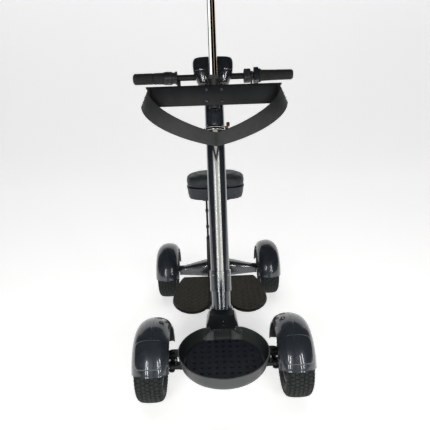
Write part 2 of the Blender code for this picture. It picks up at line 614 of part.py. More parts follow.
strap = loft(strap_rings())
piece('bag_strap', strap, 'strap', on_col(0, PLATE_Y, 0.79), parent=ax_upper)

# umbrella holder: sleeve, split clamp and the lugs that tie it to the column's arms
holder = fuse(rod((0, POLE_Y, 0.7480), (0, POLE_Y, 0.8490), 0.0190, 24),
              box(-0.0213, 0.0213, POLE_Y - 0.0080, POLE_Y + 0.0080, 0.7700, 0.8120),
              box(-0.0220, 0.0220, POLE_Y - 0.0180, POLE_Y + 0.0175, 0.8480, 0.8640),
              box(-0.0340, -0.0200, POLE_Y - 0.0090, POLE_Y + 0.0050, 0.8500, 0.8620))
holder = cut(holder, rod((0, POLE_Y, 0.7), (0, POLE_Y, 0.9), POLE_R + GAP, 24),
             rod((0.010, POLE_Y, 0.8560), (0.030, POLE_Y, 0.8560), 0.0033, 12))
piece('umbrella_holder', holder, 'satin', (0, POLE_Y, 0.80), COL, ax_upper)
ax_pole = axis_empty('axis_umbrella', COL @ Matrix.Translation((0, POLE_Y, 0.86)), ax_upper)
pole = fuse(rod((0, POLE_Y, 0.7500), (0, POLE_Y, 1.1900), POLE_R, 24),
            rod((0, POLE_Y, 1.1620), (0, POLE_Y, 1.2200), 0.0190, 24))
pole = cut(pole, rod((0, POLE_Y, 0.70), (0, POLE_Y, 1.25), 0.0132, 20))
piece('umbrella_pole', pole, 'chrome', (0, POLE_Y, 0.86), COL, ax_pole)
knob = fuse(rod((0.0160, POLE_Y, 0.8560), (0.0260, POLE_Y, 0.8560), 0.0030, 12),
            rod((0.0224, POLE_Y, 0.8560), (0.0340, POLE_Y, 0.8560), 0.0105, 12))
piece('clamp_knob', knob, 'satin', (0.022, POLE_Y, 0.856), COL, ax_upper)

# ------------------------------------------------------------------ handlebar
S = BAR_S
stem = fuse(rod((0, 0, 0.600), (0, 0, 0.868), 0.0120, 20),
            box(-0.0190, 0.0190, -0.0190, 0.0190, 0.8645, 0.9060))
stem = cut(stem, rod((-0.05, 0, S), (0.05, 0, S), BAR_R + GAP, 20))
piece('steering_stem', stem, 'alu', (0, 0, S), COL, ax_steer)
piece('handlebar_tube', ring_of((-0.2900, 0, S), (0.2900, 0, S), BAR_R, 0.0090, 16), 'gloss',
      (0, 0, S), COL, ax_steer)

pod_sections = ((0.8520, 0.0560, 0.0300), (0.8700, 0.0630, 0.0370), (0.8950, 0.0722, 0.0408),
                (0.9180, 0.0752, 0.0415), (0.9380, 0.0750, 0.0410), (0.9465, 0.0715, 0.0380),
                (0.9510, 0.0620, 0.0300))
def pod_ring(s, hx, hy, off=0.0):
    return [Vector((x, y, s)) for x, y in superellipse(0, 0, hx - off, hy - off, 3.6, 24)]


pod = loft([pod_ring(*t) for t in pod_sections])
inner = [pod_ring(0.840, 0.0530, 0.0270)] + [pod_ring(s, a, b, 0.0030) for s, a, b in pod_sections[1:4]] + \
        [pod_ring(0.9440, 0.0700, 0.0370, 0.0030)]
pod = cut(pod, loft(inner), rod((-0.10, 0, S), (0.10, 0, S), BAR_R + GAP, 16),
          rod((0.03, 0.0145, S - 0.0010), (0.10, 0.0145, S - 0.0010), 0.0030, 8))
piece('dash_pod', pod, 'gloss', (0, 0, S), COL, ax_steer)
disp = loft([[Vector((x, y, s)) for x, s in superellipse(0, 0.920, hx, hs, 5, 20)]
             for y, hx, hs in ((0.0420, 0.0450, 0.0185), (0.0450, 0.0450, 0.0185), (0.0465, 0.0435, 0.0170))])
piece('dash_display', disp, 'screen', (0, 0.045, 0.920), COL, ax_steer)


def grip(x0, x1, rings, segs=16):
    """A hollow rubber grip on the bar; rings are (share of length, radius)."""
    prof = [(x0 + (x1 - x0) * t, r) for t, r in rings]
    prof = [(x0, BAR_R + GAP)] + prof + [(x1, BAR_R + GAP)]
    out = []
    for x, r in prof:
        out.append([Vector((x, r * math.cos(a), S + r * math.sin(a)))
                    for a in (2 * math.pi * k / segs for k in range(segs))])
    return loft(out, closed=True)


piece('grip_left', fuse(grip(0.1685, 0.2920, ((0, 0.0245), (0.04, 0.0250), (0.10, 0.0200), (0.5, 0.0190),
                                              (0.95, 0.0185), (1, 0.0165))),
                        rod((0.2912, 0, S), (0.2957, 0, S), 0.0165, 20, 0.0130)), 'rubber',
      (0.23, 0, S), COL, ax_steer)
piece('grip_right', fuse(grip(-0.2920, -0.2215, ((0, 0.0180), (0.06, 0.0203), (0.9, 0.0203), (1, 0.0195))),
                         rod((-0.2965, 0, S), (-0.2912, 0, S), 0.0140, 20, 0.0180)), 'rubber',
      (-0.255, 0, S), COL, ax_steer)
ax_twist = axis_empty('axis_throttle', COL @ Matrix.Translation((-0.2, 0, S)), ax_steer)
piece('throttle_twist', grip(-0.2205, -0.1805, ((0, 0.0196), (0.08, 0.0206), (0.88, 0.0208), (0.92, 0.0222),
                                                (1, 0.0222))), 'rubber', (-0.2, 0, S), COL, ax_twist)
outlet = box(-0.1345, -0.1210, -0.0062, 0.0092, S - 0.0400, S - 0.0119)
piece('throttle_housing', fuse(grip(-0.1800, -0.1320, ((0, 0.0225), (0.08, 0.0235), (0.55, 0.0235), (0.62, 0.0205),
                                                       (0.84, 0.0205), (0.88, 0.0240), (1, 0.0240))), outlet), 'satin',
      (-0.155, 0, S), COL, ax_steer)
switch = loft([[Vector((x, y, S + z)) for y, z in superellipse(0, 0, hy, hz, 3.2, 16)]
               for x, hy, hz in ((0.1130, 0.0205, 0.0215), (0.1150, 0.0225, 0.0240),
                                 (0.1360, 0.0225, 0.0240), (0.1380, 0.0205, 0.0215))])
switch = cut(switch, rod((0.10, 0, S), (0.15, 0, S), BAR_R + GAP, 20),
             rod((0.1255, 0.0150, S), (0.1255, 0.0400, S), 0.0080, 16))
piece('switch_pod', switch, 'satin', (0.125, 0, S), COL, ax_steer)
ax_horn = axis_empty('axis_horn', COL @ Matrix.Translation((0.1255, 0.02, S)), ax_steer)
piece('horn_button', rod((0.1255, 0.0190, S), (0.1255, 0.0275, S), 0.0076, 16), 'brown',
      (0.1255, 0.02, S), COL, ax_horn)
brake = loft([[Vector((x, y, S + z)) for y, z in superellipse(0, 0.0, hy, hz, 2.3, 16)]
              for x, hy, hz in ((0.1480, 0.0225, 0.0280), (0.1505, 0.0245, 0.0310),
                                (0.1655, 0.0245, 0.0310), (0.1680, 0.0225, 0.0280))])
brake = cut(brake, rod((0.13, 0, S), (0.19, 0, S), BAR_R + GAP, 20))
piece('brake_housing', brake, 'gloss', (0.158, 0, S), COL, ax_steer)
ax_brake = axis_empty('axis_brake', COL @ Matrix.Translation((0.143, 0, S)), ax_steer)
paddle = loft([[Vector((x, y, S + z)) for y, z in ((0.0060, -0.0140), (0.0330, -0.0350), (0.0480, -0.0400),
                                                   (0.0500, -0.0350), (0.0360, -0.0280), (0.0140, -0.0040))]
               for x in (0.1395, 0.1468)])
tip = loft([[Vector((x, y, S + z)) for y, z in ((0.0345, -0.0356), (0.0480, -0.0400), (0.0500, -0.0350),
                                                (0.0370, -0.0290))] for x in (0.1330, 0.1590)])
lever = fuse(rod((0.1395, 0, S), (0.1468, 0, S), 0.0175, 20), paddle, tip)
lever = cut(lever, rod((0.12, 0, S), (0.16, 0, S), BAR_R + GAP, 20))
piece('brake_lever', lever, 'satin', (0.143, 0, S), COL, ax_brake)


def smooth_points(knots, step):
    """Points along a smooth curve through the knots, evenly spaced."""
    pts = []
    k = [knots[0] + (knots[0] - knots[1])] + knots + [knots[-1] + (knots[-1] - knots[-2])]
    for i in range(1, len(k) - 2):
        for j in range(24):
            t = j / 24
            pts.append(0.5 * ((2 * k[i]) + (k[i + 1] - k[i - 1]) * t
                              + (2 * k[i - 1] - 5 * k[i] + 4 * k[i + 1] - k[i + 2]) * t * t
                              + (3 * k[i] - k[i - 1] - 3 * k[i + 1] + k[i + 2]) * t ** 3))
    pts.append(knots[-1])
    out, run = [pts[0]], 0.0
    for a, b in zip(pts, pts[1:]):
        run += (b - a).length
        if run >= step:
            out.append(b)
            run = 0.0
    if (out[-1] - knots[-1]).length > step * 0.5:
        out.append(knots[-1])
    else:
        out[-1] = knots[-1]
    return out


def hose(knots, radius, segs=8, step=0.008):
    pts = smooth_points([Vector(k) for k in knots], step)
    rings = []
    for i, p in enumerate(pts):
        tan = (pts[min(i + 1, len(pts) - 1)] - pts[max(i - 1, 0)]).normalized()
        side = Vector((0, 1, 0))
        up = side.cross(tan).normalized()
        side = tan.cross(up).normalized()
        rings.append([p + (side * math.cos(a) + up * math.sin(a)) * radius
                      for a in (2 * math.pi * j / segs for j in range(segs))])
    return loft(rings)


piece('throttle_cable', hose([(-0.1275, 0.0015, S - 0.0404), (-0.1270, 0.0030, S - 0.0530),
                              (-0.1180, 0.0070, S - 0.0730), (-0.0980, 0.0100, S - 0.0820),
                              (-0.0760, 0.0110, S - 0.0700), (-0.0580, 0.0095, S - 0.0470),
                              (-0.0490, 0.0080, S - 0.0290)], 0.0028),
      'rubber', (-0.1, 0, S), COL, ax_steer)
piece('brake_cable', hose([(0.1126, 0.0162, S - 0.0010), (0.1060, 0.0162, S - 0.0012),
                           (0.0960, 0.0158, S - 0.0014), (0.0860, 0.0150, S - 0.0012),
                           (0.0760, 0.0145, S - 0.0010), (0.0640, 0.0145, S - 0.0010)], 0.0024),
      'rubber', (0.1, 0, S), COL, ax_steer)

# ------------------------------------------------------------------ seat
def seat_ring(hx, hy, z, n=2.9, dy=0.0):
    return [Vector((x, y, z)) for x, y in superellipse(0, SEAT_Y + dy, hx, hy, n, 28)]


piece('seat_base', loft([seat_ring(0.1300, 0.0850, 0.5745), seat_ring(0.1370, 0.0930, 0.5790),
                         seat_ring(0.1450, 0.1000, 0.6360)]), 'seat', (0, SEAT_Y, 0.60), parent=ax_seat)
piece('seat_cushion', loft([seat_ring(0.1480, 0.1020, 0.6360 + GAP), seat_ring(0.1510, 0.1050, 0.6450),
                            seat_ring(0.1515, 0.1055, 0.6700), seat_ring(0.1480, 0.1020, 0.6860),
                            seat_ring(0.1360, 0.0900, 0.6960), seat_ring(0.0950, 0.0560, 0.7020)]),
      'seat', (0, SEAT_Y, 0.66), parent=ax_seat)
post = fuse(rod((0, POST_Y, 0.2600), (0, POST_Y, 0.5700), 0.0160, 24),
            box(-0.0700, 0.0700, POST_Y - 0.0300, POST_Y + 0.0900, 0.5680, 0.5742))
post = cut(post, rod((0, POST_Y, 0.2300), (0, POST_Y, 0.5500), 0.0130, 20))
piece('seat_post', post, 'chrome', (0, POST_Y, 0.39), parent=ax_seat)
conduit = fuse(rod((-0.0480, 0.3860, 0.3080), (-0.0480, 0.3860, 0.5677), 0.0057, 12),
               rod((-0.0480, 0.3860, 0.5040), (-0.0480, 0.3860, 0.5220), 0.0080, 12),
               rod((-0.0480, 0.3860, 0.4180), (-0.0480, 0.3860, 0.4360), 0.0080, 12))
piece('seat_conduit', conduit, 'rubber', (-0.048, 0.386, 0.45), parent=ax_seat)

# the origin is under the middle of the whole scooter's box
ax_frame.location.y += MIDDLE
bpy.context.view_layer.update()
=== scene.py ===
"""Looks of the electric golf scooter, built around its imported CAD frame.

Metres, +Z up, the front points to -Y.  Every piece is modelled in the row
frame and rides on the CAD body it belongs to."""

import bpy
import bmesh
import json
import math
from mathutils import Matrix, Vector
from mathutils.bvhtree import BVHTree

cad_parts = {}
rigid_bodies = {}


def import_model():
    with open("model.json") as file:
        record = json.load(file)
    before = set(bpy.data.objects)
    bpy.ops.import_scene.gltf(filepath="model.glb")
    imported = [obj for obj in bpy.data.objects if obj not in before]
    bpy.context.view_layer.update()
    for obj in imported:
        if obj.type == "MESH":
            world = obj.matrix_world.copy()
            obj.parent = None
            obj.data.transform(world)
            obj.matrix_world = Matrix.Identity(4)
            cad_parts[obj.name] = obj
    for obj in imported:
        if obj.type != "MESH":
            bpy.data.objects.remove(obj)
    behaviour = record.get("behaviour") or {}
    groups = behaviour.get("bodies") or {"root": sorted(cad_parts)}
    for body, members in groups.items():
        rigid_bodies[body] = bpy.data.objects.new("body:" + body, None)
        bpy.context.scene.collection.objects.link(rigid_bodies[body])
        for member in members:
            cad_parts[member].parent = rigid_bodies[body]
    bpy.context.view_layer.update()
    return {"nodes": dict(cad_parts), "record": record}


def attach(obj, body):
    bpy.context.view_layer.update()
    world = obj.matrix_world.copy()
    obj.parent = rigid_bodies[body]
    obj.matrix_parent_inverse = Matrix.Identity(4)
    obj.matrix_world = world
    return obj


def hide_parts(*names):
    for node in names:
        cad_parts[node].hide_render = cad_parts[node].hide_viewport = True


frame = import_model()
NODES = frame["nodes"]
PI = math.pi

# ------------------------------------------------------------------ dimensions
MIDDLE = 0.0020
LEAN = math.radians(17.0)
SHIFT = Matrix.Translation((0.0, MIDDLE, 0.0))
COL = SHIFT @ Matrix.Translation((0.0, -0.310, 0.310)) @ Matrix.Rotation(-LEAN, 4, 'X')
COL_R, SLEEVE_R = 0.0345, 0.03575
S = 0.885
BAR_R = 0.0111
POLE_Y, POLE_R, PLATE_Y = -0.075, 0.015, -0.0980
WHEEL_X, REAR_X, FRONT_Y, REAR_Y, AXLE_Z = 0.2675, 0.2745, -0.340, 0.484, 0.140
KING_X, ARM = 0.188, 0.060
FEND_X, FEND_HW, REAR_FEND_X, REAR_FEND_HW = 0.2560, 0.0680, 0.2712, 0.0618
TRAY_Y, TRAY_R, TRAY_Z, TRAY_BACK = -0.4940, 0.1520, 0.2400, -0.3583
DECK_Z, SEAT_Y, POST_Y = 0.1503, 0.440, 0.402


# ------------------------------------------------------------------ mesh tools
class Build:
    """Collects closed shells; each face keeps the number of its material."""

    def __init__(self):
        self.v, self.f, self.m = [], [], []

    def add(self, verts, faces, mat=0, M=None):
        base = len(self.v)
        if M is None:
            self.v.extend(Vector(p) for p in verts)
        else:
            self.v.extend(M @ Vector(p) for p in verts)
        self.f.extend(tuple(base + i for i in f) for f in faces)
        if isinstance(mat, int):
            self.m.extend([mat] * len(faces))
        else:
            self.m.extend(mat)
        return self

    def rings(self, rings, closed=False, mat=0, M=None, ring_mats=None):
        """Skin equal rings. ring_mats gives a material for each place round the ring."""
        n = len(rings[0])
        verts = [p for r in rings for p in r]
        faces, mats = [], []
        last = len(rings) if closed else len(rings) - 1
        for i in range(last):
            a, b = i * n, ((i + 1) % len(rings)) * n
            for j in range(n):
                k = (j + 1) % n
                faces.append((a + j, a + k, b + k, b + j))
                mats.append(ring_mats[j] if ring_mats else mat)
        if not closed:
            faces.append(tuple(range(n)))
            faces.append(tuple(reversed(range((len(rings) - 1) * n, len(rings) * n))))
            mats += [mat, mat]
        return self.add(verts, faces, mats, M)

    def turn(self, profile, M, segs=48, closed=False, mat=0, phase=0.0):
        """Turn (radius, z) points about the Z axis of M."""
        rings = []
        for r, z in profile:
            r = max(r, 0.00025)
            rings.append([(r * math.cos(a), r * math.sin(a), z)
                          for a in (2 * PI * k / segs + phase for k in range(segs))])
        return self.rings(rings, closed, mat, M)

    def slab(self, outline, z0, z1, b=0.0008, mat=0, M=None, steps=2):
        """Extrude a flat outline with rounded edges."""
        rings = []
        for t in range(steps + 1):
            a = PI / 2 * t / steps
            rings.append([(x, y, z0 + b * (1 - math.cos(a))) for x, y in inset(outline, b * (1 - math.sin(a)))])
        for t in range(steps, -1, -1):
            a = PI / 2 * t / steps
            rings.append([(x, y, z1 - b * (1 - math.cos(a))) for x, y in inset(outline, b * (1 - math.sin(a)))])
        return self.rings(rings, mat=mat, M=M)

    def block(self, x0, x1, y0, y1, z0, z1, r=0.002, b=0.0008, mat=0, M=None):
        """A box with rounded corners in plan and eased edges."""
        o = rounded_rect((x1 - x0) / 2, (y1 - y0) / 2, r, 3)
        o = [(x + (x0 + x1) / 2, y + (y0 + y1) / 2) for x, y in o]
        return self.slab(o, z0, z1, b, mat, M)

    def tube(self, pts, r, segs=12, mat=0, M=None, radii=None):
        """A round rod through points, with closed ends."""
        pts = [Vector(p) for p in pts]
        tang = [(pts[min(i + 1, len(pts) - 1)] - pts[max(i - 1, 0)]).normalized() for i in range(len(pts))]
        u = tang[0].orthogonal().normalized()
        rings = []
        for i, p in enumerate(pts):
            u = (u - tang[i] * u.dot(tang[i])).normalized()
            w = tang[i].cross(u)
            rr = radii[i] if radii else r
            rings.append([p + (u * math.cos(a) + w * math.sin(a)) * rr
                          for a in (2 * PI * k / segs for k in range(segs))])
        return self.rings(rings, mat=mat, M=M)

    def bolt(self, at, d, r, h, kind='socket', mat=0, dark=None, M=None, washer=0.0):
        """A fastener head standing on `at` and pointing along d."""
        d = Vector(d).normalized()
        u = d.orthogonal().normalized()
        w = d.cross(u)
        F = Matrix(((u.x, w.x, d.x, at[0]), (u.y, w.y, d.y, at[1]), (u.z, w.z, d.z, at[2]), (0, 0, 0, 1)))
        if M is not None:
            F = M @ F
        if washer:
            self.turn([(washer, -0.0004), (washer, 0.0008), (washer * 0.94, 0.0012), (r * 0.6, 0.0012)], F, 28,
                      mat=mat if dark is None else dark)
            F = F @ Matrix.Translation((0, 0, 0.0010))
        n = 24
        def hexr(a, rr):
            return rr * math.cos(PI / 6) / math.cos((a % (PI / 3)) - PI / 6)
        if kind == 'hex':
            lv = [(r, -0.0005, 1), (r, h * 0.82, 1), (r * 0.93, h, 0.35), (r * 0.80, h, 0.0), (0.0005, h, 0.0)]
            rings = [[((hexr(a, rr) * t + rr * (1 - t)) * math.cos(a), (hexr(a, rr) * t + rr * (1 - t)) * math.sin(a), z)
                      for a in (2 * PI * k / n for k in range(n))] for rr, z, t in lv]
        else:
            if kind == 'dome':
                out = [(r, -0.0005), (r, h * 0.12), (r * 0.93, h * 0.50), (r * 0.76, h * 0.82), (r * 0.55, h)]
            else:
                out = [(r, -0.0005), (r, h * 0.86), (r * 0.95, h * 0.96), (r * 0.88, h), (r * 0.62, h)]
            rings = [[(rr * math.cos(a), rr * math.sin(a), z) for a in (2 * PI * k / n for k in range(n))]
                     for rr, z in out]
            for rr, z in ((0.50, h - 0.0001), (0.50, h * 0.40), (0.25, h * 0.36)):
                rings.append([(hexr(a, r * rr) * math.cos(a), hexr(a, r * rr) * math.sin(a), z)
                              for a in (2 * PI * k / n for k in range(n))])
        return self.rings(rings, mat=mat, M=F)

    def mirrored(self):
        """The same shells on the other side of the X = 0 plane."""
        o = Build()
        o.v = [Vector((-p.x, p.y, p.z)) for p in self.v]
        o.f = [tuple(reversed(f)) for f in self.f]
        o.m = list(self.m)
        return o

    def join(self, other):
        base = len(self.v)
        self.v.extend(other.v)
        self.f.extend(tuple(base + i for i in f) for f in other.f)
        self.m.extend(other.m)
        return self


def inset(outline, d):
    """Move a counter-clockwise or clockwise outline inwards by d."""
    if abs(d) < 1e-9:
        return list(outline)
    n = len(outline)
    area = sum(outline[i][0] * outline[(i + 1) % n][1] - outline[(i + 1) % n][0] * outline[i][1] for i in range(n))
    sign = 1.0 if area > 0 else -1.0
    res = []
    for i in range(n):
        p0, p, p1 = outline[i - 1], outline[i], outline[(i + 1) % n]
        e0 = Vector((p[0] - p0[0], p[1] - p0[1])).normalized()
        e1 = Vector((p1[0] - p[0], p1[1] - p[1])).normalized()
        n0, n1 = Vector((-e0.y, e0.x)) * sign, Vector((-e1.y, e1.x)) * sign
        m = n0 + n1
        if m.length < 1e-6:
            m = n0
        m = m / max(0.35, m.dot(n0))
        res.append((p[0] + m.x * d, p[1] + m.y * d))
    return res


def rounded_rect(hx, hy, r, n=4):
    r = min(r, hx * 0.98, hy * 0.98)
    pts = []
    for cx, cy, a0 in ((hx - r, hy - r, 0), (-hx + r, hy - r, 90), (-hx + r, -hy + r, 180), (hx - r, -hy + r, 270)):
        for k in range(n + 1):
            a = math.radians(a0 + 90 * k / n)
            pts.append((cx + r * math.cos(a), cy + r * math.sin(a)))
    return pts


def superellipse(cx, cy, hx, hy, n, count):
    pts = []
    for k in range(count):
        a = 2 * PI * k / count
        c, s = math.cos(a), math.sin(a)
        pts.append((cx + hx * math.copysign(abs(c) ** (2 / n), c), cy + hy * math.copysign(abs(s) ** (2 / n), s)))
    return pts


def spline(knots, count):
    """Evenly spaced points on a smooth curve through the knots."""
    k = [Vector(p) for p in knots]
    k = [k[0] * 2 - k[1]] + k + [k[-1] * 2 - k[-2]]
    fine = []
    for i in range(1, len(k) - 2):
        for j in range(16):
            t = j / 16
            fine.append(0.5 * ((2 * k[i]) + (k[i + 1] - k[i - 1]) * t
                               + (2 * k[i - 1] - 5 * k[i] + 4 * k[i + 1] - k[i + 2]) * t * t
                               + (3 * k[i] - k[i - 1] - 3 * k[i + 1] + k[i + 2]) * t ** 3))
    fine.append(k[-2])
    run = [0.0]
    for a, b in zip(fine, fine[1:]):
        run.append(run[-1] + (b - a).length)
    out, i = [], 0
    for c in range(count):
        d = run[-1] * c / (count - 1)
        while i < len(run) - 2 and run[i + 1] < d:
            i += 1
        t = (d - run[i]) / max(1e-12, run[i + 1] - run[i])
        out.append(fine[i].lerp(fine[i + 1], min(1.0, t)))
    return out


def smoothstep(a, b, x):
    t = min(1.0, max(0.0, (x - a) / (b - a)))
    return t * t * (3 - 2 * t)


def axis_x(x, y, z):
    """A frame whose Z axis points along +X, at a place."""
    return Matrix.Translation((x, y, z)) @ Matrix.Rotation(PI / 2, 4, 'Y')


def make(name, B, mats, body, replaces=(), angle=32, bevel=0.0, painted_shading=None, limit=35):
    """One visible piece from collected shells."""
    me = bpy.data.meshes.new(name)
    me.from_pydata([tuple(p) for p in B.v], [], B.f)
    for m in (mats if isinstance(mats, (list, tuple)) else [mats]):
        me.materials.append(m)
    me.polygons.foreach_set('material_index', B.m)
    bm = bmesh.new()
    bm.from_mesh(me)
    bmesh.ops.recalc_face_normals(bm, faces=bm.faces)
    bm.to_mesh(me)
    bm.free()
    me.shade_smooth()
    me.set_sharp_from_angle(angle=math.radians(angle))
    # painted light and shade: a value per point, read by the finish to mix in its third colour
    if painted_shading is not None:
        at = me.attributes.new('painted_shading', 'FLOAT', 'POINT')
        at.data.foreach_set('value', painted_shading)
    ob = bpy.data.objects.new(name, me)
    bpy.context.scene.collection.objects.link(ob)
    if bevel:
        md = ob.modifiers.new('edges', 'BEVEL')
        md.width, md.segments, md.limit_method = bevel, 2, 'ANGLE'
        md.angle_limit = math.radians(limit)
        md.harden_normals = True
    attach(ob, body)
    if replaces:
        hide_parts(*replaces)
    return ob


# ------------------------------------------------------------------ materials
class Nodes:
    """A short way to write a material's node tree."""

    def __init__(self, name):
        self.mat = bpy.data.materials.new(name)
        self.mat.use_nodes = True
        self.t = self.mat.node_tree
        self.s = self.t.nodes['Principled BSDF']
        self.co = self.t.nodes.new('ShaderNodeTexCoord').outputs['Object']

    def new(self, kind, **inputs):
        n = self.t.nodes.new(kind)
        for k, v in inputs.items():
            sock = n.inputs[k.replace('_', ' ')]
            if isinstance(v, bpy.types.NodeSocket):
                self.t.links.new(v, sock)
            else:
                sock.default_value = v
        return n

    def link(self, a, b):
        self.t.links.new(a, b)

    def stretched(self, sx, sy, sz, rot=(0, 0, 0)):
        n = self.t.nodes.new('ShaderNodeMapping')
        self.link(self.co, n.inputs['Vector'])
        n.inputs['Scale'].default_value = (sx, sy, sz)
        n.inputs['Rotation'].default_value = rot
        return n.outputs['Vector']

    def noise(self, scale, detail=3.0, rough=0.5, vec=None, distort=0.0):
        n = self.new('ShaderNodeTexNoise', Scale=scale, Detail=detail, Roughness=rough, Distortion=distort)
        self.link(vec or self.co, n.inputs['Vector'])
        return n.outputs['Fac']

    def cells(self, scale, feature='F1', out='Distance', vec=None, smooth=None):
        n = self.t.nodes.new('ShaderNodeTexVoronoi')
        n.feature = feature
        n.inputs['Scale'].default_value = scale
        self.link(vec or self.co, n.inputs['Vector'])
        return n.outputs[out]

    def ramp(self, fac, lo, hi, a, b):
        n = self.new('ShaderNodeMapRange', From_Min=lo, From_Max=hi, To_Min=a, To_Max=b)
        self.link(fac, n.inputs['Value'])
        return n.outputs['Result']

    def mix(self, fac, a, b):
        n = self.t.nodes.new('ShaderNodeMix')
        n.data_type = 'RGBA'
        self.link(fac, n.inputs[0])
        for v, sock in ((a, n.inputs[6]), (b, n.inputs[7])):
            if isinstance(v, bpy.types.NodeSocket):
                self.link(v, sock)
            else:
                sock.default_value = (*v, 1.0)
        return n.outputs[2]

    def math(self, op, a, b=None):
        n = self.t.nodes.new('ShaderNodeMath')
        n.operation = op
        for v, sock in ((a, n.inputs[0]), (b, n.inputs[1])):
            if v is None:
                continue
            if isinstance(v, bpy.types.NodeSocket):
                self.link(v, sock)
            else:
                sock.default_value = v
        return n.outputs[0]

    # reads the point attribute that carries painted light and shade
    def attr(self, name='painted_shading'):
        n = self.t.nodes.new('ShaderNodeAttribute')
        n.attribute_name = name
        return n.outputs['Fac']

    def bump(self, height, strength, distance, normal=None):
        n = self.new('ShaderNodeBump', Strength=strength, Distance=distance)
        self.link(height, n.inputs['Height'])
        if normal is not None:
            self.link(normal, n.inputs['Normal'])
        return n.outputs['Normal']

    def set(self, **kw):
        for k, v in kw.items():
            sock = self.s.inputs[k.replace('_', ' ')]
            if isinstance(v, bpy.types.NodeSocket):
                self.link(v, sock)
            elif isinstance(v, tuple) and len(v) == 3 and sock.type == 'RGBA':
                sock.default_value = (*v, 1.0)
            else:
                sock.default_value = v
        return self.mat


def plain(name, colour, shade, rough, spread=0.06, metal=0.0, cloud=22.0, grain=500.0, depth=0.00006, strength=0.25,
          coat=0.0, coat_rough=0.04, spec=0.5, ior=1.5, painted_shading=None):
    """A finish with cloudy colour and roughness and a fine grain."""
    n = Nodes(name)
    cloudy = n.noise(cloud, 5.0, 0.6)
    col = n.mix(n.ramp(cloudy, 0.35, 0.65, 0.0, 1.0), colour, shade)
    # painted light and shade: the given colour is mixed in by a point attribute
    if painted_shading:
        col = n.mix(n.attr(), col, painted_shading)
    fine = n.noise(grain, 3.0, 0.55)
    rough_out = n.ramp(n.noise(cloud * 2.7, 4.0, 0.6), 0.3, 0.7, max(0.0, rough - spread), rough + spread)
    return n.set(Base_Color=col, Roughness=rough_out, Metallic=metal, Normal=n.bump(fine, strength, depth),
                 Coat_Weight=coat, Coat_Roughness=coat_rough, Specular_IOR_Level=spec, IOR=ior)


def paint(name, colour, shade, flake=(0.10, 0.12, 0.15), coat=1.0, rough=0.30, metal=0.35, cloud=9.0, ior=1.6):
    """Sprayed gloss paint: a clear coat over a cloudy base, with faint orange peel and dust."""
    n = Nodes(name)
    col = n.mix(n.ramp(n.noise(cloud, 4.0, 0.55), 0.38, 0.62, 0.0, 1.0), colour, shade)
    dust = n.ramp(n.noise(55.0, 6.0, 0.7, distort=0.6), 0.56, 0.74, 0.0, 0.35)
    col = n.mix(dust, col, flake)
    r = n.math('ADD', n.ramp(n.noise(30.0, 5.0, 0.65), 0.3, 0.7, rough - 0.06, rough + 0.08), n.math('MULTIPLY', dust, 0.25))
    peel = n.bump(n.noise(210.0, 2.0, 0.5), 0.10, 0.00008)
    mat = n.set(Base_Color=col, Roughness=r, Metallic=metal, IOR=ior, Coat_Weight=coat, Coat_Roughness=0.035,
                Coat_IOR=1.55, Normal=peel)
    n.link(peel, n.s.inputs['Coat Normal'])
    return mat


def plated(name, colour, shade, rough=0.06, along=None):
    """Bright plating with faint wipe marks."""
    n = Nodes(name)
    vec = n.stretched(*along) if along else n.co
    marks = n.noise(60.0, 5.0, 0.6, vec=vec)
    col = n.mix(n.ramp(n.noise(14.0, 3.0, 0.5), 0.35, 0.65, 0.0, 1.0), colour, shade)
    return n.set(Base_Color=col, Metallic=1.0, Roughness=n.ramp(marks, 0.35, 0.75, rough, rough + 0.07),
                 Normal=n.bump(n.noise(160.0, 2.0, 0.5, vec=vec), 0.06, 0.00005))


def rubber(name, colour, shade, rough=0.72, cell=900.0, depth=0.00012, spec=0.35, painted_shading=None, cloud=35.0):
    n = Nodes(name)
    col = n.mix(n.ramp(n.noise(cloud, 5.0, 0.65), 0.35, 0.7, 0.0, 1.0), colour, shade)
    # painted light and shade: the given colour is mixed in by a point attribute
    if painted_shading:
        col = n.mix(n.attr(), col, painted_shading)
    grit = n.math('ADD', n.noise(cell, 3.0, 0.6), n.math('MULTIPLY', n.cells(cell * 0.8), 0.6))
    return n.set(Base_Color=col, Roughness=n.ramp(n.noise(cloud * 3, 4.0, 0.6), 0.3, 0.7, rough - 0.10, rough + 0.10),
                 Normal=n.bump(grit, 0.35, depth), Specular_IOR_Level=spec)


def leather(name, colour, shade, rough=0.45, cell=620.0, depth=0.00018, spec=0.4, painted_shading=None):
    """Embossed vinyl: pebbled cells, soft folds and slight wear."""
    n = Nodes(name)
    col = n.mix(n.ramp(n.noise(26.0, 5.0, 0.6), 0.35, 0.65, 0.0, 1.0), colour, shade)
    # painted light and shade: the given colour is mixed in by a point attribute
    if painted_shading:
        col = n.mix(n.attr(), col, painted_shading)
    pebble = n.cells(cell, 'SMOOTH_F1')
    fold = n.noise(70.0, 4.0, 0.55)
    height = n.math('ADD', n.math('MULTIPLY', pebble, 0.7), n.math('MULTIPLY', fold, 0.8))
    return n.set(Base_Color=col, Roughness=n.ramp(n.noise(48.0, 5.0, 0.6), 0.3, 0.7, rough - 0.08, rough + 0.10),
                 Normal=n.bump(height, 0.4, depth), Specular_IOR_Level=spec)


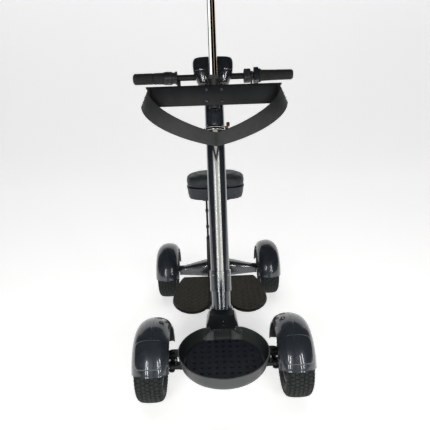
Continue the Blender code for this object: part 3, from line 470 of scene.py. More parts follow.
M_FENDER = paint('slate_gloss', (0.026, 0.031, 0.040), (0.036, 0.043, 0.053), flake=(0.085, 0.095, 0.105))
M_INNER = plain('inner_black', (0.006, 0.006, 0.007), (0.010, 0.010, 0.011), 0.6, spec=0.3)
M_GLOSS = paint('gloss_black', (0.010, 0.012, 0.015), (0.014, 0.016, 0.020), flake=(0.03, 0.035, 0.04), metal=0.1,
                rough=0.18)
M_COLUMN = paint('column_gloss', (0.016, 0.019, 0.025), (0.020, 0.024, 0.031), flake=(0.05, 0.055, 0.06), metal=0.4,
                 rough=0.12)
M_SATIN = plain('satin_black', (0.0050, 0.0060, 0.0065), (0.0090, 0.0100, 0.0110), 0.44, spec=0.3)
M_MOULD = plain('moulded_black', (0.009, 0.010, 0.011), (0.015, 0.016, 0.018), 0.36, grain=900.0, spec=0.45)
M_DECK = plain('deck_coated', (0.012, 0.013, 0.014), (0.020, 0.021, 0.022), 0.45, grain=700.0, depth=0.0001,
               strength=0.4, spec=0.35)
# the tray's third colour is painted shade, laid on by a point attribute
M_TRAY = plain('tray_plastic', (0.034, 0.041, 0.041), (0.045, 0.052, 0.051), 0.36, cloud=12.0, grain=900.0, spec=0.5,
               painted_shading=(0.009, 0.010, 0.011))
M_TRAY_MAT = rubber('mat_rubber', (0.010, 0.012, 0.018), (0.015, 0.017, 0.024), rough=0.6, spec=0.3)
M_STUD = rubber('mat_stud', (0.0045, 0.005, 0.008), (0.007, 0.008, 0.012), rough=0.55, spec=0.25)
# the foot mats' third colour is a painted highlight, laid on by a point attribute
M_FOOT = rubber('foot_rubber', (0.004, 0.0038, 0.003), (0.008, 0.0075, 0.006), rough=0.62, spec=0.30,
                painted_shading=(0.105, 0.095, 0.080))
M_RUBBER = rubber('grip_rubber', (0.010, 0.010, 0.010), (0.016, 0.016, 0.016), rough=0.66)
M_TREAD = rubber('tread_rubber', (0.011, 0.013, 0.013), (0.022, 0.026, 0.025), rough=0.74, spec=0.30, cloud=60.0)
M_WALL = rubber('wall_rubber', (0.008, 0.009, 0.009), (0.014, 0.015, 0.015), rough=0.66, spec=0.35)
M_CHROME = plated('bright_plating', (0.78, 0.78, 0.76), (0.66, 0.66, 0.64))
M_STEEL = plated('zinc_steel', (0.42, 0.43, 0.43), (0.30, 0.31, 0.32), rough=0.24)
M_ALU = plain('cast_alloy', (0.30, 0.31, 0.32), (0.22, 0.23, 0.24), 0.34, metal=0.95, grain=380.0, depth=0.0001,
              strength=0.5)
M_SILVER = paint('housing_silver', (0.055, 0.062, 0.068), (0.085, 0.092, 0.098), flake=(0.20, 0.21, 0.21), metal=0.6,
                 rough=0.26, cloud=14.0)
# the strap's third colour is a painted highlight, laid on by a point attribute
M_STRAP = leather('strap_band', (0.0075, 0.0085, 0.0090), (0.0125, 0.0135, 0.0145), rough=0.50, cell=900.0, depth=0.0001,
                  painted_shading=(0.024, 0.025, 0.026))
M_SEAT = leather('seat_vinyl', (0.016, 0.021, 0.023), (0.024, 0.030, 0.032), rough=0.48)
M_SEAT_LOW = leather('seat_lower_vinyl', (0.018, 0.022, 0.028), (0.026, 0.031, 0.038), rough=0.42)
M_THREAD = plain('seat_thread', (0.030, 0.036, 0.038), (0.045, 0.052, 0.054), 0.7, grain=1500.0, depth=0.0002,
                 strength=0.6)
M_BROWN = plain('red_brown', (0.050, 0.011, 0.008), (0.080, 0.018, 0.012), 0.32, spec=0.5)
M_SCREEN = plain('screen_glass', (0.006, 0.007, 0.009), (0.009, 0.011, 0.013), 0.08, spread=0.03, coat=1.0, grain=60.0,
                 strength=0.02)
M_MARK = plain('screen_marks', (0.10, 0.16, 0.14), (0.13, 0.19, 0.17), 0.35)
M_CELL = plain('battery_shell', (0.014, 0.040, 0.110), (0.020, 0.055, 0.140), 0.45)

# kept CAD nodes take their finish from here
KEPT = {'fender_plastic': M_FENDER, 'gloss_black': M_GLOSS, 'satin_black': M_SATIN, 'pod_plastic': M_GLOSS,
        'moulded_black': M_MOULD, 'deck_metal': M_DECK, 'tray_plastic': M_TRAY, 'mat_rubber': M_TRAY_MAT,
        'black_rubber': M_RUBBER, 'tyre_rubber': M_WALL, 'chrome_plate': M_CHROME, 'plain_steel': M_STEEL,
        'cast_aluminium': M_ALU, 'silver_housing': M_SILVER, 'strap_leather': M_STRAP, 'seat_vinyl': M_SEAT,
        'red_brown_plastic': M_BROWN, 'screen_glass': M_SCREEN, 'battery_shell': M_CELL}
SLOT_OF = {part['node']: part['material_slot'] for part in frame['record']['subparts']}

# ------------------------------------------------------------------ wheels
CROWN = spline([(0, 0.1362, 0), (0.0205, 0.1352, 0), (0.0340, 0.1327, 0), (0.0412, 0.1288, 0), (0.0456, 0.1215, 0),
                (0.0476, 0.1120, 0), (0.0464, 0.1020, 0), (0.0418, 0.0930, 0), (0.0342, 0.0868, 0),
                (0.0262, 0.0858, 0)], 46)
CROWN_RUN = [0.0]
for _a, _b in zip(CROWN, CROWN[1:]):
    CROWN_RUN.append(CROWN_RUN[-1] + (_b - _a).length)


def on_crown(s, angle, lift):
    """A place on the tyre: s across from the middle, angle round, lift off the surface."""
    d, sign = abs(s), (1 if s >= 0 else -1)
    i = 0
    while i < len(CROWN_RUN) - 2 and CROWN_RUN[i + 1] < d:
        i += 1
    t = (d - CROWN_RUN[i]) / (CROWN_RUN[i + 1] - CROWN_RUN[i])
    p = CROWN[i].lerp(CROWN[i + 1], t)
    e = (CROWN[i + 1] - CROWN[i]).normalized()
    x, r = p.x - e.y * lift, p.y + e.x * lift
    return Vector((sign * x, r * math.sin(angle), r * math.cos(angle)))


def tyre_mesh():
    B = Build()
    prof = [(p.x, p.y) for p in reversed(CROWN)] + [(-p.x, p.y) for p in CROWN[1:]]
    segs = 104
    rings = [[(x, r * math.sin(a), r * math.cos(a)) for a in (2 * PI * k / segs for k in range(segs))]
             for x, r in prof]
    B.rings(rings, closed=True, mat=1)
    for sx in (1, -1):
        for x, r, t in ((0.0468, 0.1035, 0.0009), (0.0452, 0.0985, 0.0007), (0.0474, 0.1125, 0.0008)):
            loop = []
            for k in range(8):
                a = 2 * PI * k / 8
                loop.append([(sx * (x + t * math.cos(a)), (r + t * math.sin(a)) * math.sin(b),
                              (r + t * math.sin(a)) * math.cos(b)) for b in (2 * PI * j / 80 for j in range(80))])
            B.rings(loop, closed=True, mat=1)
    # honeycomb of rounded hexagons
    count = 52
    step = 2 * PI / count
    shape = []
    for c in range(6):
        a = PI / 3 * c
        for da in (-0.20, 0.0, 0.20):
            rr = 1.0 if da == 0 else 0.955
            shape.append((rr * math.cos(a + da), rr * math.sin(a + da)))
    for col, across in enumerate((-0.0462, -0.0308, -0.0154, 0.0, 0.0154, 0.0308, 0.0462)):
        edge = abs(across) > 0.04
        for k in range(count):
            mid = step * (k + (0.5 if col % 2 else 0.0))
            high = 0.0030 if edge else 0.0036
            rings = []
            for size, lift in ((1.06, -0.0012), (1.0, high - 0.0009), (0.955, high - 0.0002), (0.86, high)):
                ring = []
                for hx, hy in shape:
                    s = across + hx * 0.0083 * size
                    ring.append(on_crown(s, mid + hy * 0.0083 * size / 0.1385, lift))
                rings.append(ring)
            B.rings(rings, mat=0)
    return B


def hub_nut(B, mat):
    B.turn([(0.0215, 0.0275), (0.0215, 0.0295), (0.0200, 0.0305), (0.0095, 0.0305)], axis_x(0, 0, 0), 40, mat=mat)


def front_rim():
    """Cast alloy wheel seen from the outside at +X."""
    B = Build()
    barrel = [(0.0885, -0.0370), (0.0895, -0.0362), (0.0890, -0.0345), (0.0852, -0.0330), (0.0846, -0.0200),
              (0.0800, -0.0120), (0.0800, 0.0120), (0.0846, 0.0200), (0.0852, 0.0330), (0.0890, 0.0345),
              (0.0895, 0.0362), (0.0885, 0.0370), (0.0815, 0.0368), (0.0800, 0.0340), (0.0790, 0.0200),
              (0.0755, 0.0120), (0.0750, 0.0), (0.0755, -0.0120), (0.0790, -0.0200), (0.0800, -0.0340),
              (0.0815, -0.0368)]
    B.turn(barrel, axis_x(0, 0, 0), 72, closed=True, mat=0)
    for k in range(5):
        R = Matrix.Rotation(2 * PI * k / 5, 4, 'X')
        rings = []
        for t in range(9):
            u = t / 8
            r = 0.0200 + (0.0785 - 0.0200) * u
            half = 0.0115 - 0.0045 * math.sin(u * PI) + 0.0045 * u ** 3
            x0, x1 = -0.0090 + 0.004 * u, 0.0205 - 0.0110 * smoothstep(0.0, 0.75, u)
            rings.append([((x0 + x1) / 2 + px, py, r) for px, py in superellipse(0, 0, (x1 - x0) / 2, half, 3.4, 20)])
        B.rings(rings, mat=0, M=R)
        rings = []
        for t in range(7):                       # raised rib along each spoke
            u = 0.18 + 0.68 * t / 6
            r = 0.0200 + (0.0785 - 0.0200) * u
            x1 = 0.0205 - 0.0110 * smoothstep(0.0, 0.75, u)
            rings.append([(x1 - 0.0004 + px, py, r) for px, py in superellipse(0, 0, 0.0016, 0.0028, 2.0, 10)])
        B.rings(rings, mat=0, M=R)
    B.turn([(0.0090, -0.0358), (0.0235, -0.0358), (0.0248, -0.0345), (0.0260, -0.0120), (0.0275, 0.0), (0.0265, 0.0180),
            (0.0255, 0.0255), (0.0240, 0.0276), (0.0225, 0.0280), (0.0090, 0.0280)], axis_x(0, 0, 0), 56, closed=True,
           mat=0)
    for k in range(5):
        a = 2 * PI * (k + 0.5) / 5
        B.bolt((0.0278, 0.0172 * math.sin(a), 0.0172 * math.cos(a)), (1, 0, 0), 0.0027, 0.0016, 'socket', mat=1)
    B.turn([(0.0130, 0.0276), (0.0130, 0.0290), (0.0120, 0.0296), (0.0092, 0.0296)], axis_x(0, 0, 0), 40, mat=1)
    B.tube([(0.030, 0.0, 0.0795), (0.034, 0.0, 0.0745), (0.0375, 0.0, 0.0690)], 0.0022, 12, mat=2)
    return B


def rear_rim():
    """Hub motor wheel: a ribbed cover bolted to the rim."""
    B = Build()
    barrel = [(0.0885, -0.0370), (0.0895, -0.0362), (0.0890, -0.0345), (0.0852, -0.0330), (0.0846, -0.0200),
              (0.0830, 0.0), (0.0846, 0.0200), (0.0852, 0.0330), (0.0890, 0.0345), (0.0895, 0.0362),
              (0.0885, 0.0370), (0.0815, 0.0368), (0.0800, 0.0340), (0.0785, 0.0260), (0.0700, 0.0240),
              (0.0700, -0.0240), (0.0785, -0.0260), (0.0800, -0.0340), (0.0815, -0.0368)]
    B.turn(barrel, axis_x(0, 0, 0), 72, closed=True, mat=0)
    for sx in (1, -1):
        F = axis_x(0, 0, 0) if sx > 0 else Matrix.Rotation(PI, 4, 'Z') @ axis_x(0, 0, 0)
        B.turn([(0.0745, 0.0180), (0.0745, 0.0235), (0.0735, 0.0252), (0.0700, 0.0262), (0.0640, 0.0262),
                (0.0630, 0.0250), (0.0560, 0.0250), (0.0545, 0.0264), (0.0300, 0.0283), (0.0290, 0.0292),
                (0.0235, 0.0292), (0.0225, 0.0280), (0.0170, 0.0280), (0.0095, 0.0280)], F, 72, mat=3)
        for k in range(8):
            a = 2 * PI * k / 8
            B.bolt((sx * 0.0260, 0.0672 * math.sin(a), 0.0672 * math.cos(a)), (sx, 0, 0), 0.0031, 0.0020, 'socket',
                   mat=1)
        for k in range(16):
            R = Matrix.Rotation(2 * PI * (k + 0.5) / 16, 4, 'X')
            rings = []
            for t in range(5):
                u = t / 4
                r = 0.0315 + 0.0215 * u
                h = 0.0284 - 0.0018 * u
                rings.append([(sx * (h - 0.0008 + px), py, r)
                              for px, py in superellipse(0, 0, 0.0014, 0.0013 + 0.0006 * u, 2.4, 10)])
            B.rings(rings, mat=3, M=R)
    return B


def place_mesh(name, me, at, body, node):
    ob = bpy.data.objects.new(name, me)
    bpy.context.scene.collection.objects.link(ob)
    ob.matrix_world = at
    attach(ob, body)
    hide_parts(node)
    return ob


tyre_data = None
for end, wx, y in (('front', WHEEL_X, FRONT_Y), ('rear', REAR_X, REAR_Y)):
    for side, sx in (('left', 1), ('right', -1)):
        body = 'wheel_%s_%s' % (end, side[0])
        at = Matrix.Translation((sx * wx, y + MIDDLE, AXLE_Z))
        if tyre_data is None:
            first = make('tread_%s_%s' % (end, side), tyre_mesh(), [M_TREAD, M_WALL], body,
                         ['tyre_%s_%s' % (end, side)], angle=40)
            tyre_data = first.data
            first.parent = None
            first.matrix_world = at
            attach(first, body)
        else:
            place_mesh('tread_%s_%s' % (end, side), tyre_data, at, body, 'tyre_%s_%s' % (end, side))
        B = front_rim() if end == 'front' else rear_rim()
        if sx < 0:
            B = B.mirrored()
        for p in B.v:
            p += at.translation
        make('wheel_%s_%s_alloy' % (end, side), B, [M_ALU, M_STEEL, M_RUBBER, M_SATIN], body,
             ['rim_%s_%s' % (end, side)], angle=38)


# ------------------------------------------------------------------ fenders
def fender_section(R, hw):
    """The skin's section from the frame side to the outside, as (x, drop below the crown)."""
    kw, kr = hw / 0.0680, R / 0.1665
    inside = spline([(-x * kw, d * kr, 0) for x, d in ((0.0655, 0.0345), (0.0620, 0.0265), (0.0540, 0.0160),
                                                      (0.0400, 0.0070), (0.0200, 0.0013), (0.0, 0.0))], 34)
    outside = [(hw * math.sin(t), 0.060 * kr * (1 - math.cos(t))) for t in (math.radians(80 * k / 40) for k in range(1, 41))]
    return [(p.x, p.y) for p in inside] + outside


def fender_shell(R, hw, a0, a1, panel=True, droop=0.0):
    """The +X fender about its axle: x is across, -Y is ahead."""
    prof = fender_section(R, hw)
    x_lo, x_hi = -0.0425, 0.0520
    extra = []
    for i in range(len(prof) - 1):               # finer stations at the panel's edges and at the crease
        (x0, z0), (x1, z1) = prof[i], prof[i + 1]
        for e in (x_lo - 0.0006, x_lo, x_lo + 0.0006, x_lo + 0.0014, x_hi - 0.0014, x_hi - 0.0006, x_hi, x_hi + 0.0006,
                  -0.0050, -0.0042, -0.0035, -0.0028, -0.0020):
            if x0 < e < x1:
                t = (e - x0) / (x1 - x0)
                extra.append((i + t, (e, z0 + (z1 - z0) * t)))
    prof = [p for _, p in sorted([(float(i), p) for i, p in enumerate(prof)] + extra)]
    n = len(prof)
    norm = []
    for i in range(n):
        a, b = prof[max(0, i - 1)], prof[min(n - 1, i + 1)]
        d = Vector((b[0] - a[0], b[1] - a[1])).normalized()
        norm.append((d.y, d.x))                  # outwards in x, upwards in radius
    angles = [a0 + (a1 - a0) * k / 96 for k in range(97)]
    if panel:
        angles += [26.2, 26.6, 27.0, 27.4, 61.4, 61.8, 62.2, 62.6]
    angles += [a0 + 0.35, a0 + 0.8, a1 - 0.35, a1 - 0.8]
    angles = sorted(set(round(a, 3) for a in angles))
    rings = []
    thick = 0.0026
    rad = math.radians(1) * R
    for a in angles:
        ar = math.radians(a)
        lip = 1 - smoothstep(0.0, 1.1, min(a - a0, a1 - a))
        crest = smoothstep(50, 58, a) * (1 - smoothstep(108, 118, a)) if panel else 0.0
        out, inn = [], []
        for i, ((x, z), (nx, nz)) in enumerate(zip(prof, norm)):
            d = 0.0
            if panel:
                px = abs(x - (x_lo + x_hi) / 2) - ((x_hi - x_lo) / 2 - 0.0125)
                py = abs(a - 44.5) * rad - (17.5 * rad - 0.0125)
                dist = math.hypot(max(px, 0), max(py, 0)) + min(max(px, py), 0) - 0.0125
                d = 0.0013 * (1 - smoothstep(-0.0012, 0.0006, dist))
                d += 0.0009 * crest * max(0.0, 1 - abs(x + 0.0035) / 0.0022)
            edge = min(i, n - 1 - i)
            hem = 0.0007 * (1 - smoothstep(1.0, 3.0, edge)) + 0.0006 * lip
            o = d + hem
            i2 = -thick - 0.0003 * lip
            out.append((x + nx * o, R - z + nz * o))
            inn.append((x + nx * i2, R - z + nz * i2))
        loop = out + list(reversed(inn))
        late = smoothstep(a1 - 13, a1, a)        # the tail hangs lower in the middle
        ring = []
        for x, r in loop:
            t = ar + math.radians(droop) * late * max(0.0, 1 - (R - r) / (0.030 * R / 0.1665))
            ring.append((x, -r * math.cos(t), r * math.sin(t)))
        rings.append(ring)
    B = Build()
    B.rings(rings, ring_mats=[0] * n + [1] * (n - 1) + [0], mat=0)
    return B


for side, sx in (('left', 1), ('right', -1)):
    B = fender_shell(0.1658, FEND_HW - 0.0004, 18.0, 179.6, droop=7.6)
    plug = math.radians(94)
    out = Vector((-0.27, -0.96 * math.cos(plug), 0.96 * math.sin(plug))).normalized()
    at = Vector((-0.0325, -0.1612 * math.cos(plug), 0.1612 * math.sin(plug)))
    u = Vector((1, 0, 0)); u = (u - out * u.dot(out)).normalized(); w = out.cross(u)
    F = Matrix(((u.x, w.x, out.x, at.x), (u.y, w.y, out.y, at.y), (u.z, w.z, out.z, at.z), (0, 0, 0, 1)))
    B.slab([(x, y * 1.25) for x, y in rounded_rect(0.0080, 0.0086, 0.0078, 6)], -0.002, 0.0011, 0.0006, mat=1, M=F)
    B.bolt((0, 0, 0.0008), (0, 0, 1), 0.0040, 0.0018, 'dome', mat=2, M=F)
    B = B if sx > 0 else B.mirrored()
    for p in B.v:
        p += Vector((sx * FEND_X, FRONT_Y + MIDDLE, AXLE_Z))
    make('front_fender_shell_' + side, B, [M_FENDER, M_INNER, M_STEEL], 'knuckle_' + side[0],
         ['front_fender_' + side], angle=50)

    B = fender_shell(0.1573, REAR_FEND_HW - 0.0014, 4.0, 179.6, panel=False)
    B = B if sx > 0 else B.mirrored()
    for p in B.v:
        p += Vector((sx * REAR_FEND_X, REAR_Y + MIDDLE, AXLE_Z))
    stay = Build()
    stay.block(0.2124, 0.2156, REAR_Y - 0.014, REAR_Y + 0.014, 0.1510, 0.2680, 0.0015, 0.0006, mat=1)
    for z in (0.2560, 0.1600):
        stay.bolt((0.2124, REAR_Y, z), (-1, 0, 0), 0.0046, 0.0032, 'hex', mat=2)
    for p in stay.v:
        p.y += MIDDLE
    B.join(stay if sx > 0 else stay.mirrored())
    make('rear_fender_shell_' + side, B, [M_FENDER, M_INNER, M_STEEL], 'frame', ['rear_fender_' + side],
         angle=50)

# ------------------------------------------------------------------ bag tray
def tray_turn(B, profile, M, segs, mat=0):
    """Turned about the tray's middle, with the flat back."""
    rings = []
    for r, z in profile:
        lim = TRAY_BACK - TRAY_Y - (TRAY_R - r)
        rr = max(r, 0.0003)
        rings.append([(rr * math.cos(a), min(rr * math.sin(a), lim) if r > 0.05 else rr * math.sin(a) - 0.03, z)
                      for a in (2 * PI * k / segs for k in range(segs))])
    return B.rings(rings, mat=mat, M=M)


B = Build()
TF = SHIFT @ Matrix.Translation((0, TRAY_Y, TRAY_Z))
wall = [(0.0, 0.0), (0.1195, 0.0), (0.1320, 0.0004), (0.1390, 0.0045), (0.1435, 0.0115), (0.1464, 0.0240),
        (0.1491, 0.0440), (0.1500, 0.0475), (0.1513, 0.0480), (0.1520, 0.0492), (0.1520, 0.0506), (0.1512, 0.0518),
        (0.1499, 0.0521), (0.1486, 0.0517), (0.1479, 0.0506), (0.1474, 0.0480), (0.1450, 0.0300), (0.1418, 0.0150),
        (0.1385, 0.0085), (0.1325, 0.0048), (0.1195, 0.0040), (0.0, 0.0040)]
tray_turn(B, wall, TF, 144)
# painted shade per point: the inside, the rim bead, the foot of the outer wall and its right side
tray_painted_shade = [0.0] * len(B.v)
for i, p in enumerate(B.v):
    k = i // 144
    q = p - TF.translation
    if k >= 13:                                  # inside: painted shade, lifted towards the right rear
        shade = 0.80 - 0.75 * smoothstep(0.02, 0.11, q.x) * smoothstep(-0.03, 0.09, q.y)
    elif k >= 7:                                 # rim bead: a little painted shade
        shade = 0.15
    else:
        # outer wall: painted shade at its foot and towards the right side
        shade = 0.70 * (1 - smoothstep(0.000, 0.014, q.z)) + 0.40 * smoothstep(0.02, 0.14, q.x)
    tray_painted_shade[i] = min(1.0, max(0.0, shade))
for r, w in ((0.060, 0.0018), (0.100, 0.0018)):
    B.turn([(r - w, 0.0005), (r - w, -0.0030), (r + w, -0.0030), (r + w, 0.0005)],
           TF @ Matrix.Translation((0, -0.006, 0)), 64, closed=True)
for sx in (1, -1):                               # gussets against the back wall
    rings = []
    for x, top, foot in ((0.0295, 0.0475, -0.3812), (0.0320, 0.0485, -0.3812), (0.0350, 0.0470, -0.3810),
                         (0.0480, 0.0375, -0.3795), (0.0600, 0.0280, -0.3775), (0.0670, 0.0200, -0.3750)):
        rings.append([(sx * x, y - TRAY_Y, z) for y, z in
                      ((foot, 0.0046), (foot + 0.0020, 0.0075), (-0.3680, top - 0.0010), (-0.3660, top),
                       (-0.3632, top - 0.0005), (-0.3690, 0.0050))])
    B.rings(rings, M=TF, mat=0)
# the rings under the floor and the gussets also get painted shade
tray_painted_shade += [0.80] * (len(B.v) - len(tray_painted_shade))
make('bag_tray_shell', B, M_TRAY, 'frame', ['bag_tray'], angle=40, painted_shading=tray_painted_shade)

B = Build()
tray_turn(B, [(0.0, 0.0043), (0.1272, 0.0043), (0.1279, 0.0050), (0.1279, 0.0118), (0.1272, 0.0132), (0.1256, 0.0138),
              (0.1241, 0.0132), (0.1232, 0.0125), (0.0, 0.0125)], TF, 120)
for i in range(-5, 6):
    for j in range(-5, 6):
        x, y = i * 0.0244, j * 0.0285 - 0.0135
        if math.hypot(x, y) > 0.1150 or y > 0.104:
            continue
        B.turn([(0.0062, 0.0118), (0.0062, 0.0130), (0.0056, 0.0137), (0.0040, 0.0142), (0.0, 0.0144)],
               TF @ Matrix.Translation((x, y, 0)), 20, mat=1)
make('tray_mat_studded', B, [M_TRAY_MAT, M_STUD], 'frame', ['tray_mat'], angle=40)


# ------------------------------------------------------------------ neck
def bell_ring(t, count=64):
    z = 0.2550 + t * 0.0905
    axis_y = -0.310 + (z - 0.310) * math.tan(LEAN)
    w = 0.0375 + (0.0635 - 0.0375) * math.cos(t * PI / 2) ** 0.9
    if t > 0.999:
        w = 0.0375
    front = -0.3568 if z < 0.296 else axis_y - 0.0375 / math.cos(LEAN)
    front = max(front, -0.3568)
    rear = axis_y + 0.0385 + 0.043 * (1 - t) ** 1.5
    n = 3.2 - 1.2 * t
    return [(x, y, z) for x, y in superellipse(0, (front + rear) / 2, w, (rear - front) / 2, n, count)]


B = Build()
B.rings([bell_ring(t) for t in (0, 0.04, 0.10, 0.18, 0.26, 0.34, 0.42, 0.50, 0.58, 0.66, 0.74, 0.82, 0.88, 0.93,
                                0.97, 0.99)], M=SHIFT)
top = [Vector(p) for p in bell_ring(0.99)]
B.turn([(0.0349, 0.0180), (0.0392, 0.0180), (0.0398, 0.0200), (0.0392, 0.0235), (0.0349, 0.0235)], COL, 56,
       closed=True)
make('neck_bell', B, M_GLOSS, 'frame', ['neck_shroud'], angle=45)

B = Build()
hb = [(-0.3740, 0.2935), (-0.3576, 0.2935), (-0.3576, 0.2975), (-0.3438, 0.3355), (-0.3438, 0.3500),
      (-0.3764, 0.3500), (-0.3764, 0.3462), (-0.3750, 0.3446), (-0.3740, 0.3436)]
B.rings([[(x, y, z) for y, z in hb] for x in (-0.0440, 0.0440)], M=SHIFT)
for z in (0.3060, 0.3245):
    B.bolt((0.0050, -0.3738, z), (0, -1, 0), 0.0026, 0.0010, 'dome', mat=1, M=SHIFT)
make('neck_front_box', B, [M_SATIN, M_STEEL], 'frame', ['neck_box'], bevel=0.0010)

B = Build()                                      # bright screws along the foot of the neck
for x, z, r in ((-0.0438, 0.2830, 0.0030), (-0.0284, 0.2845, 0.0022), (-0.0181, 0.2840, 0.0026),
                (-0.0100, 0.2830, 0.0022), (0.0115, 0.2840, 0.0022), (-0.0190, 0.2740, 0.0022),
                (-0.0043, 0.2750, 0.0018), (0.0463, 0.2840, 0.0032)):
    B.bolt((x, -0.3632, z), (-x * 2, -1, 0.4), r, r * 0.75, 'dome', mat=0, M=SHIFT)
B.bolt((0.0660, -0.3655, 0.2810), (-0.4, -0.7, 0.4), 0.0030, 0.0022, 'dome', mat=0, M=SHIFT)
make('neck_screws', B, M_STEEL, 'frame')

# ------------------------------------------------------------------ column, fixed part
B = Build()
B.turn([(COL_R - 0.0025, -0.035), (COL_R, -0.035), (COL_R, 0.8474), (COL_R - 0.0006, 0.8480),
        (COL_R - 0.0025, 0.8480)], COL, 96, closed=True)
make('column_tube', B, M_COLUMN, 'frame', ['column_lower'])


def notched_sleeve(B, r_in, r_out, z0, z1, notches, mat=0, M=None, segs=120):
    """A sleeve whose lower edge has short slots at some angles."""
    rings = []
    for r, low, dz in ((r_in, True, 0.0), (r_out - 0.0006, True, 0.0), (r_out, True, 0.0006),
                       (r_out, False, -0.0006), (r_out - 0.0006, False, 0.0), (r_in, False, 0.0)):
        ring = []
        for k in range(segs):
            a = 2 * PI * k / segs
            z = z1
            if low:
                z = z0
                for mid, half, depth in notches:
                    d = abs((a - mid + PI) % (2 * PI) - PI)
                    z = max(z, z0 + depth * (1 - smoothstep(half, half + 0.04, d)))
            ring.append((r * math.cos(a), r * math.sin(a), z + dz))
        rings.append(ring)
    B.rings(rings, closed=True, mat=mat, M=M)


B = Build()
fr = -PI / 2                                     # the side that faces the front
notched_sleeve(B, COL_R + 0.0003, 0.0392, 0.0930, 0.1690,
               [(fr - 0.42, 0.10, 0.006), (fr + 0.55, 0.06, 0.006), (fr + PI, 0.12, 0.006)], M=COL)
for z in (0.1010, 0.1600):
    B.turn([(0.0385, z), (0.0397, z + 0.0006), (0.0397, z + 0.0022), (0.0385, z + 0.0028)], COL, 96, closed=True)
for az in (-0.72, 0.80, PI):
    d = Vector((math.sin(az), -math.cos(az), 0))
    B.bolt(d * 0.0388 + Vector((0, 0, 0.1540)), d, 0.0034, 0.0024, 'dome', mat=1, M=COL)
make('column_foot_sleeve', B, [M_COLUMN, M_STEEL], 'frame', ['column_base_sleeve'], angle=40)

# ------------------------------------------------------------------ column, sliding part
YZX = Matrix(((0, 0, 1, 0), (1, 0, 0, 0), (0, 1, 0, 0), (0, 0, 0, 1)))     # outline in (y, z), thickness along +x
XZY = Matrix(((1, 0, 0, 0), (0, 0, -1, 0), (0, 1, 0, 0), (0, 0, 0, 1)))    # outline in (x, z), thickness towards -y
XZB = Matrix(((-1, 0, 0, 0), (0, 0, 1, 0), (0, 1, 0, 0), (0, 0, 0, 1)))    # outline in (-x, z), thickness towards +y
TO_Y = Matrix.Rotation(-PI / 2, 4, 'X')


def eased(pts, r, n=4):
    """A polygon with its corners rounded."""
    out = []
    for i, p in enumerate(pts):
        p, p0, p1 = Vector(p), Vector(pts[i - 1]), Vector(pts[(i + 1) % len(pts)])
        a = p + (p0 - p).normalized() * min(r, (p0 - p).length * 0.48)
        b = p + (p1 - p).normalized() * min(r, (p1 - p).length * 0.48)
        for k in range(n + 1):
            t = k / n
            q = a * (1 - t) ** 2 + p * 2 * t * (1 - t) + b * t * t
            out.append((q.x, q.y))
    return out


def holed(B, outline, cx, cy, r, z0, z1, b=0.0008, mat=0, M=None):
    """A block with a round hole through it; the outline is centred on the hole."""
    n = len(outline)
    circle = []
    for x, y in outline:
        a = math.atan2(y - cy, x - cx)
        circle.append((cx + r * math.cos(a), cy + r * math.sin(a)))
    small = inset(outline, b)
    rings = [[(x, y, z0) for x, y in circle], [(x, y, z0) for x, y in small], [(x, y, z0 + b) for x, y in outline],
             [(x, y, z1 - b) for x, y in outline], [(x, y, z1) for x, y in small], [(x, y, z1) for x, y in circle]]
    return B.rings(rings, closed=True, mat=mat, M=M)


def sheet_x(B, outline, x0, x1, b=0.0008, mat=0, M=COL):
    return B.slab(outline, x0, x1, b, mat, M @ YZX)


B = Build()
B.turn([(COL_R + 0.0003, 0.7003), (SLEEVE_R - 0.0006, 0.7003), (SLEEVE_R, 0.7009), (SLEEVE_R, 0.8480),
        (SLEEVE_R - 0.0008, 0.8495), (COL_R + 0.0003, 0.8495)], COL, 96, closed=True)
for z in (0.7055, 0.8420):
    B.turn([(SLEEVE_R - 0.0006, z - 0.0016), (SLEEVE_R + 0.0008, z - 0.0008), (SLEEVE_R + 0.0008, z + 0.0008),
            (SLEEVE_R - 0.0006, z + 0.0016)], COL, 96, closed=True)
arm_out = eased([(-0.0950, 0.7620), (-0.0235, 0.7780), (-0.0235, 0.8020), (-0.0560, 0.8180), (-0.0950, 0.8180)], 0.004)
for sx in (1, -1):
    A = Build()
    sheet_x(A, arm_out, 0.0217, 0.0299, 0.0010)
    for y, z in ((-0.0840, 0.7740), (-0.0840, 0.8060), (-0.0400, 0.7900)):
        A.bolt((0.0299, y, z), (1, 0, 0), 0.0040, 0.0026, 'hex', mat=1, M=COL)
    if sx > 0:
        B.join(A)
    else:
        B.join(A.mirrored())
make('column_slider', B, [M_COLUMN, M_STEEL], 'column_top', ['column_upper'], angle=40)

B = Build()
B.turn([(COL_R + 0.0004, 0.6842), (0.0380, 0.6840), (0.0387, 0.6848), (0.0388, 0.6860), (0.0388, 0.6905),
        (0.0383, 0.6912), (0.0383, 0.6928), (0.0388, 0.6935), (0.0388, 0.6982), (0.0384, 0.6994), (0.0378, 0.6999),
        (COL_R + 0.0004, 0.6998)], COL, 96, closed=True)
holed(B, [(0.0436 + x, 0.0120 + y) for x, y in superellipse(0, 0, 0.0062, 0.0060, 5, 40)], 0.0440, 0.0120, 0.0034,
      0.6861, 0.6979, 0.0006, M=COL)
B.bolt((-0.0385, -0.0040, 0.6920), (-1, 0, 0), 0.0030, 0.0022, 'socket', mat=0, M=COL)
make('collar_clamp', B, M_CHROME, 'column_top', ['column_collar'], angle=35)

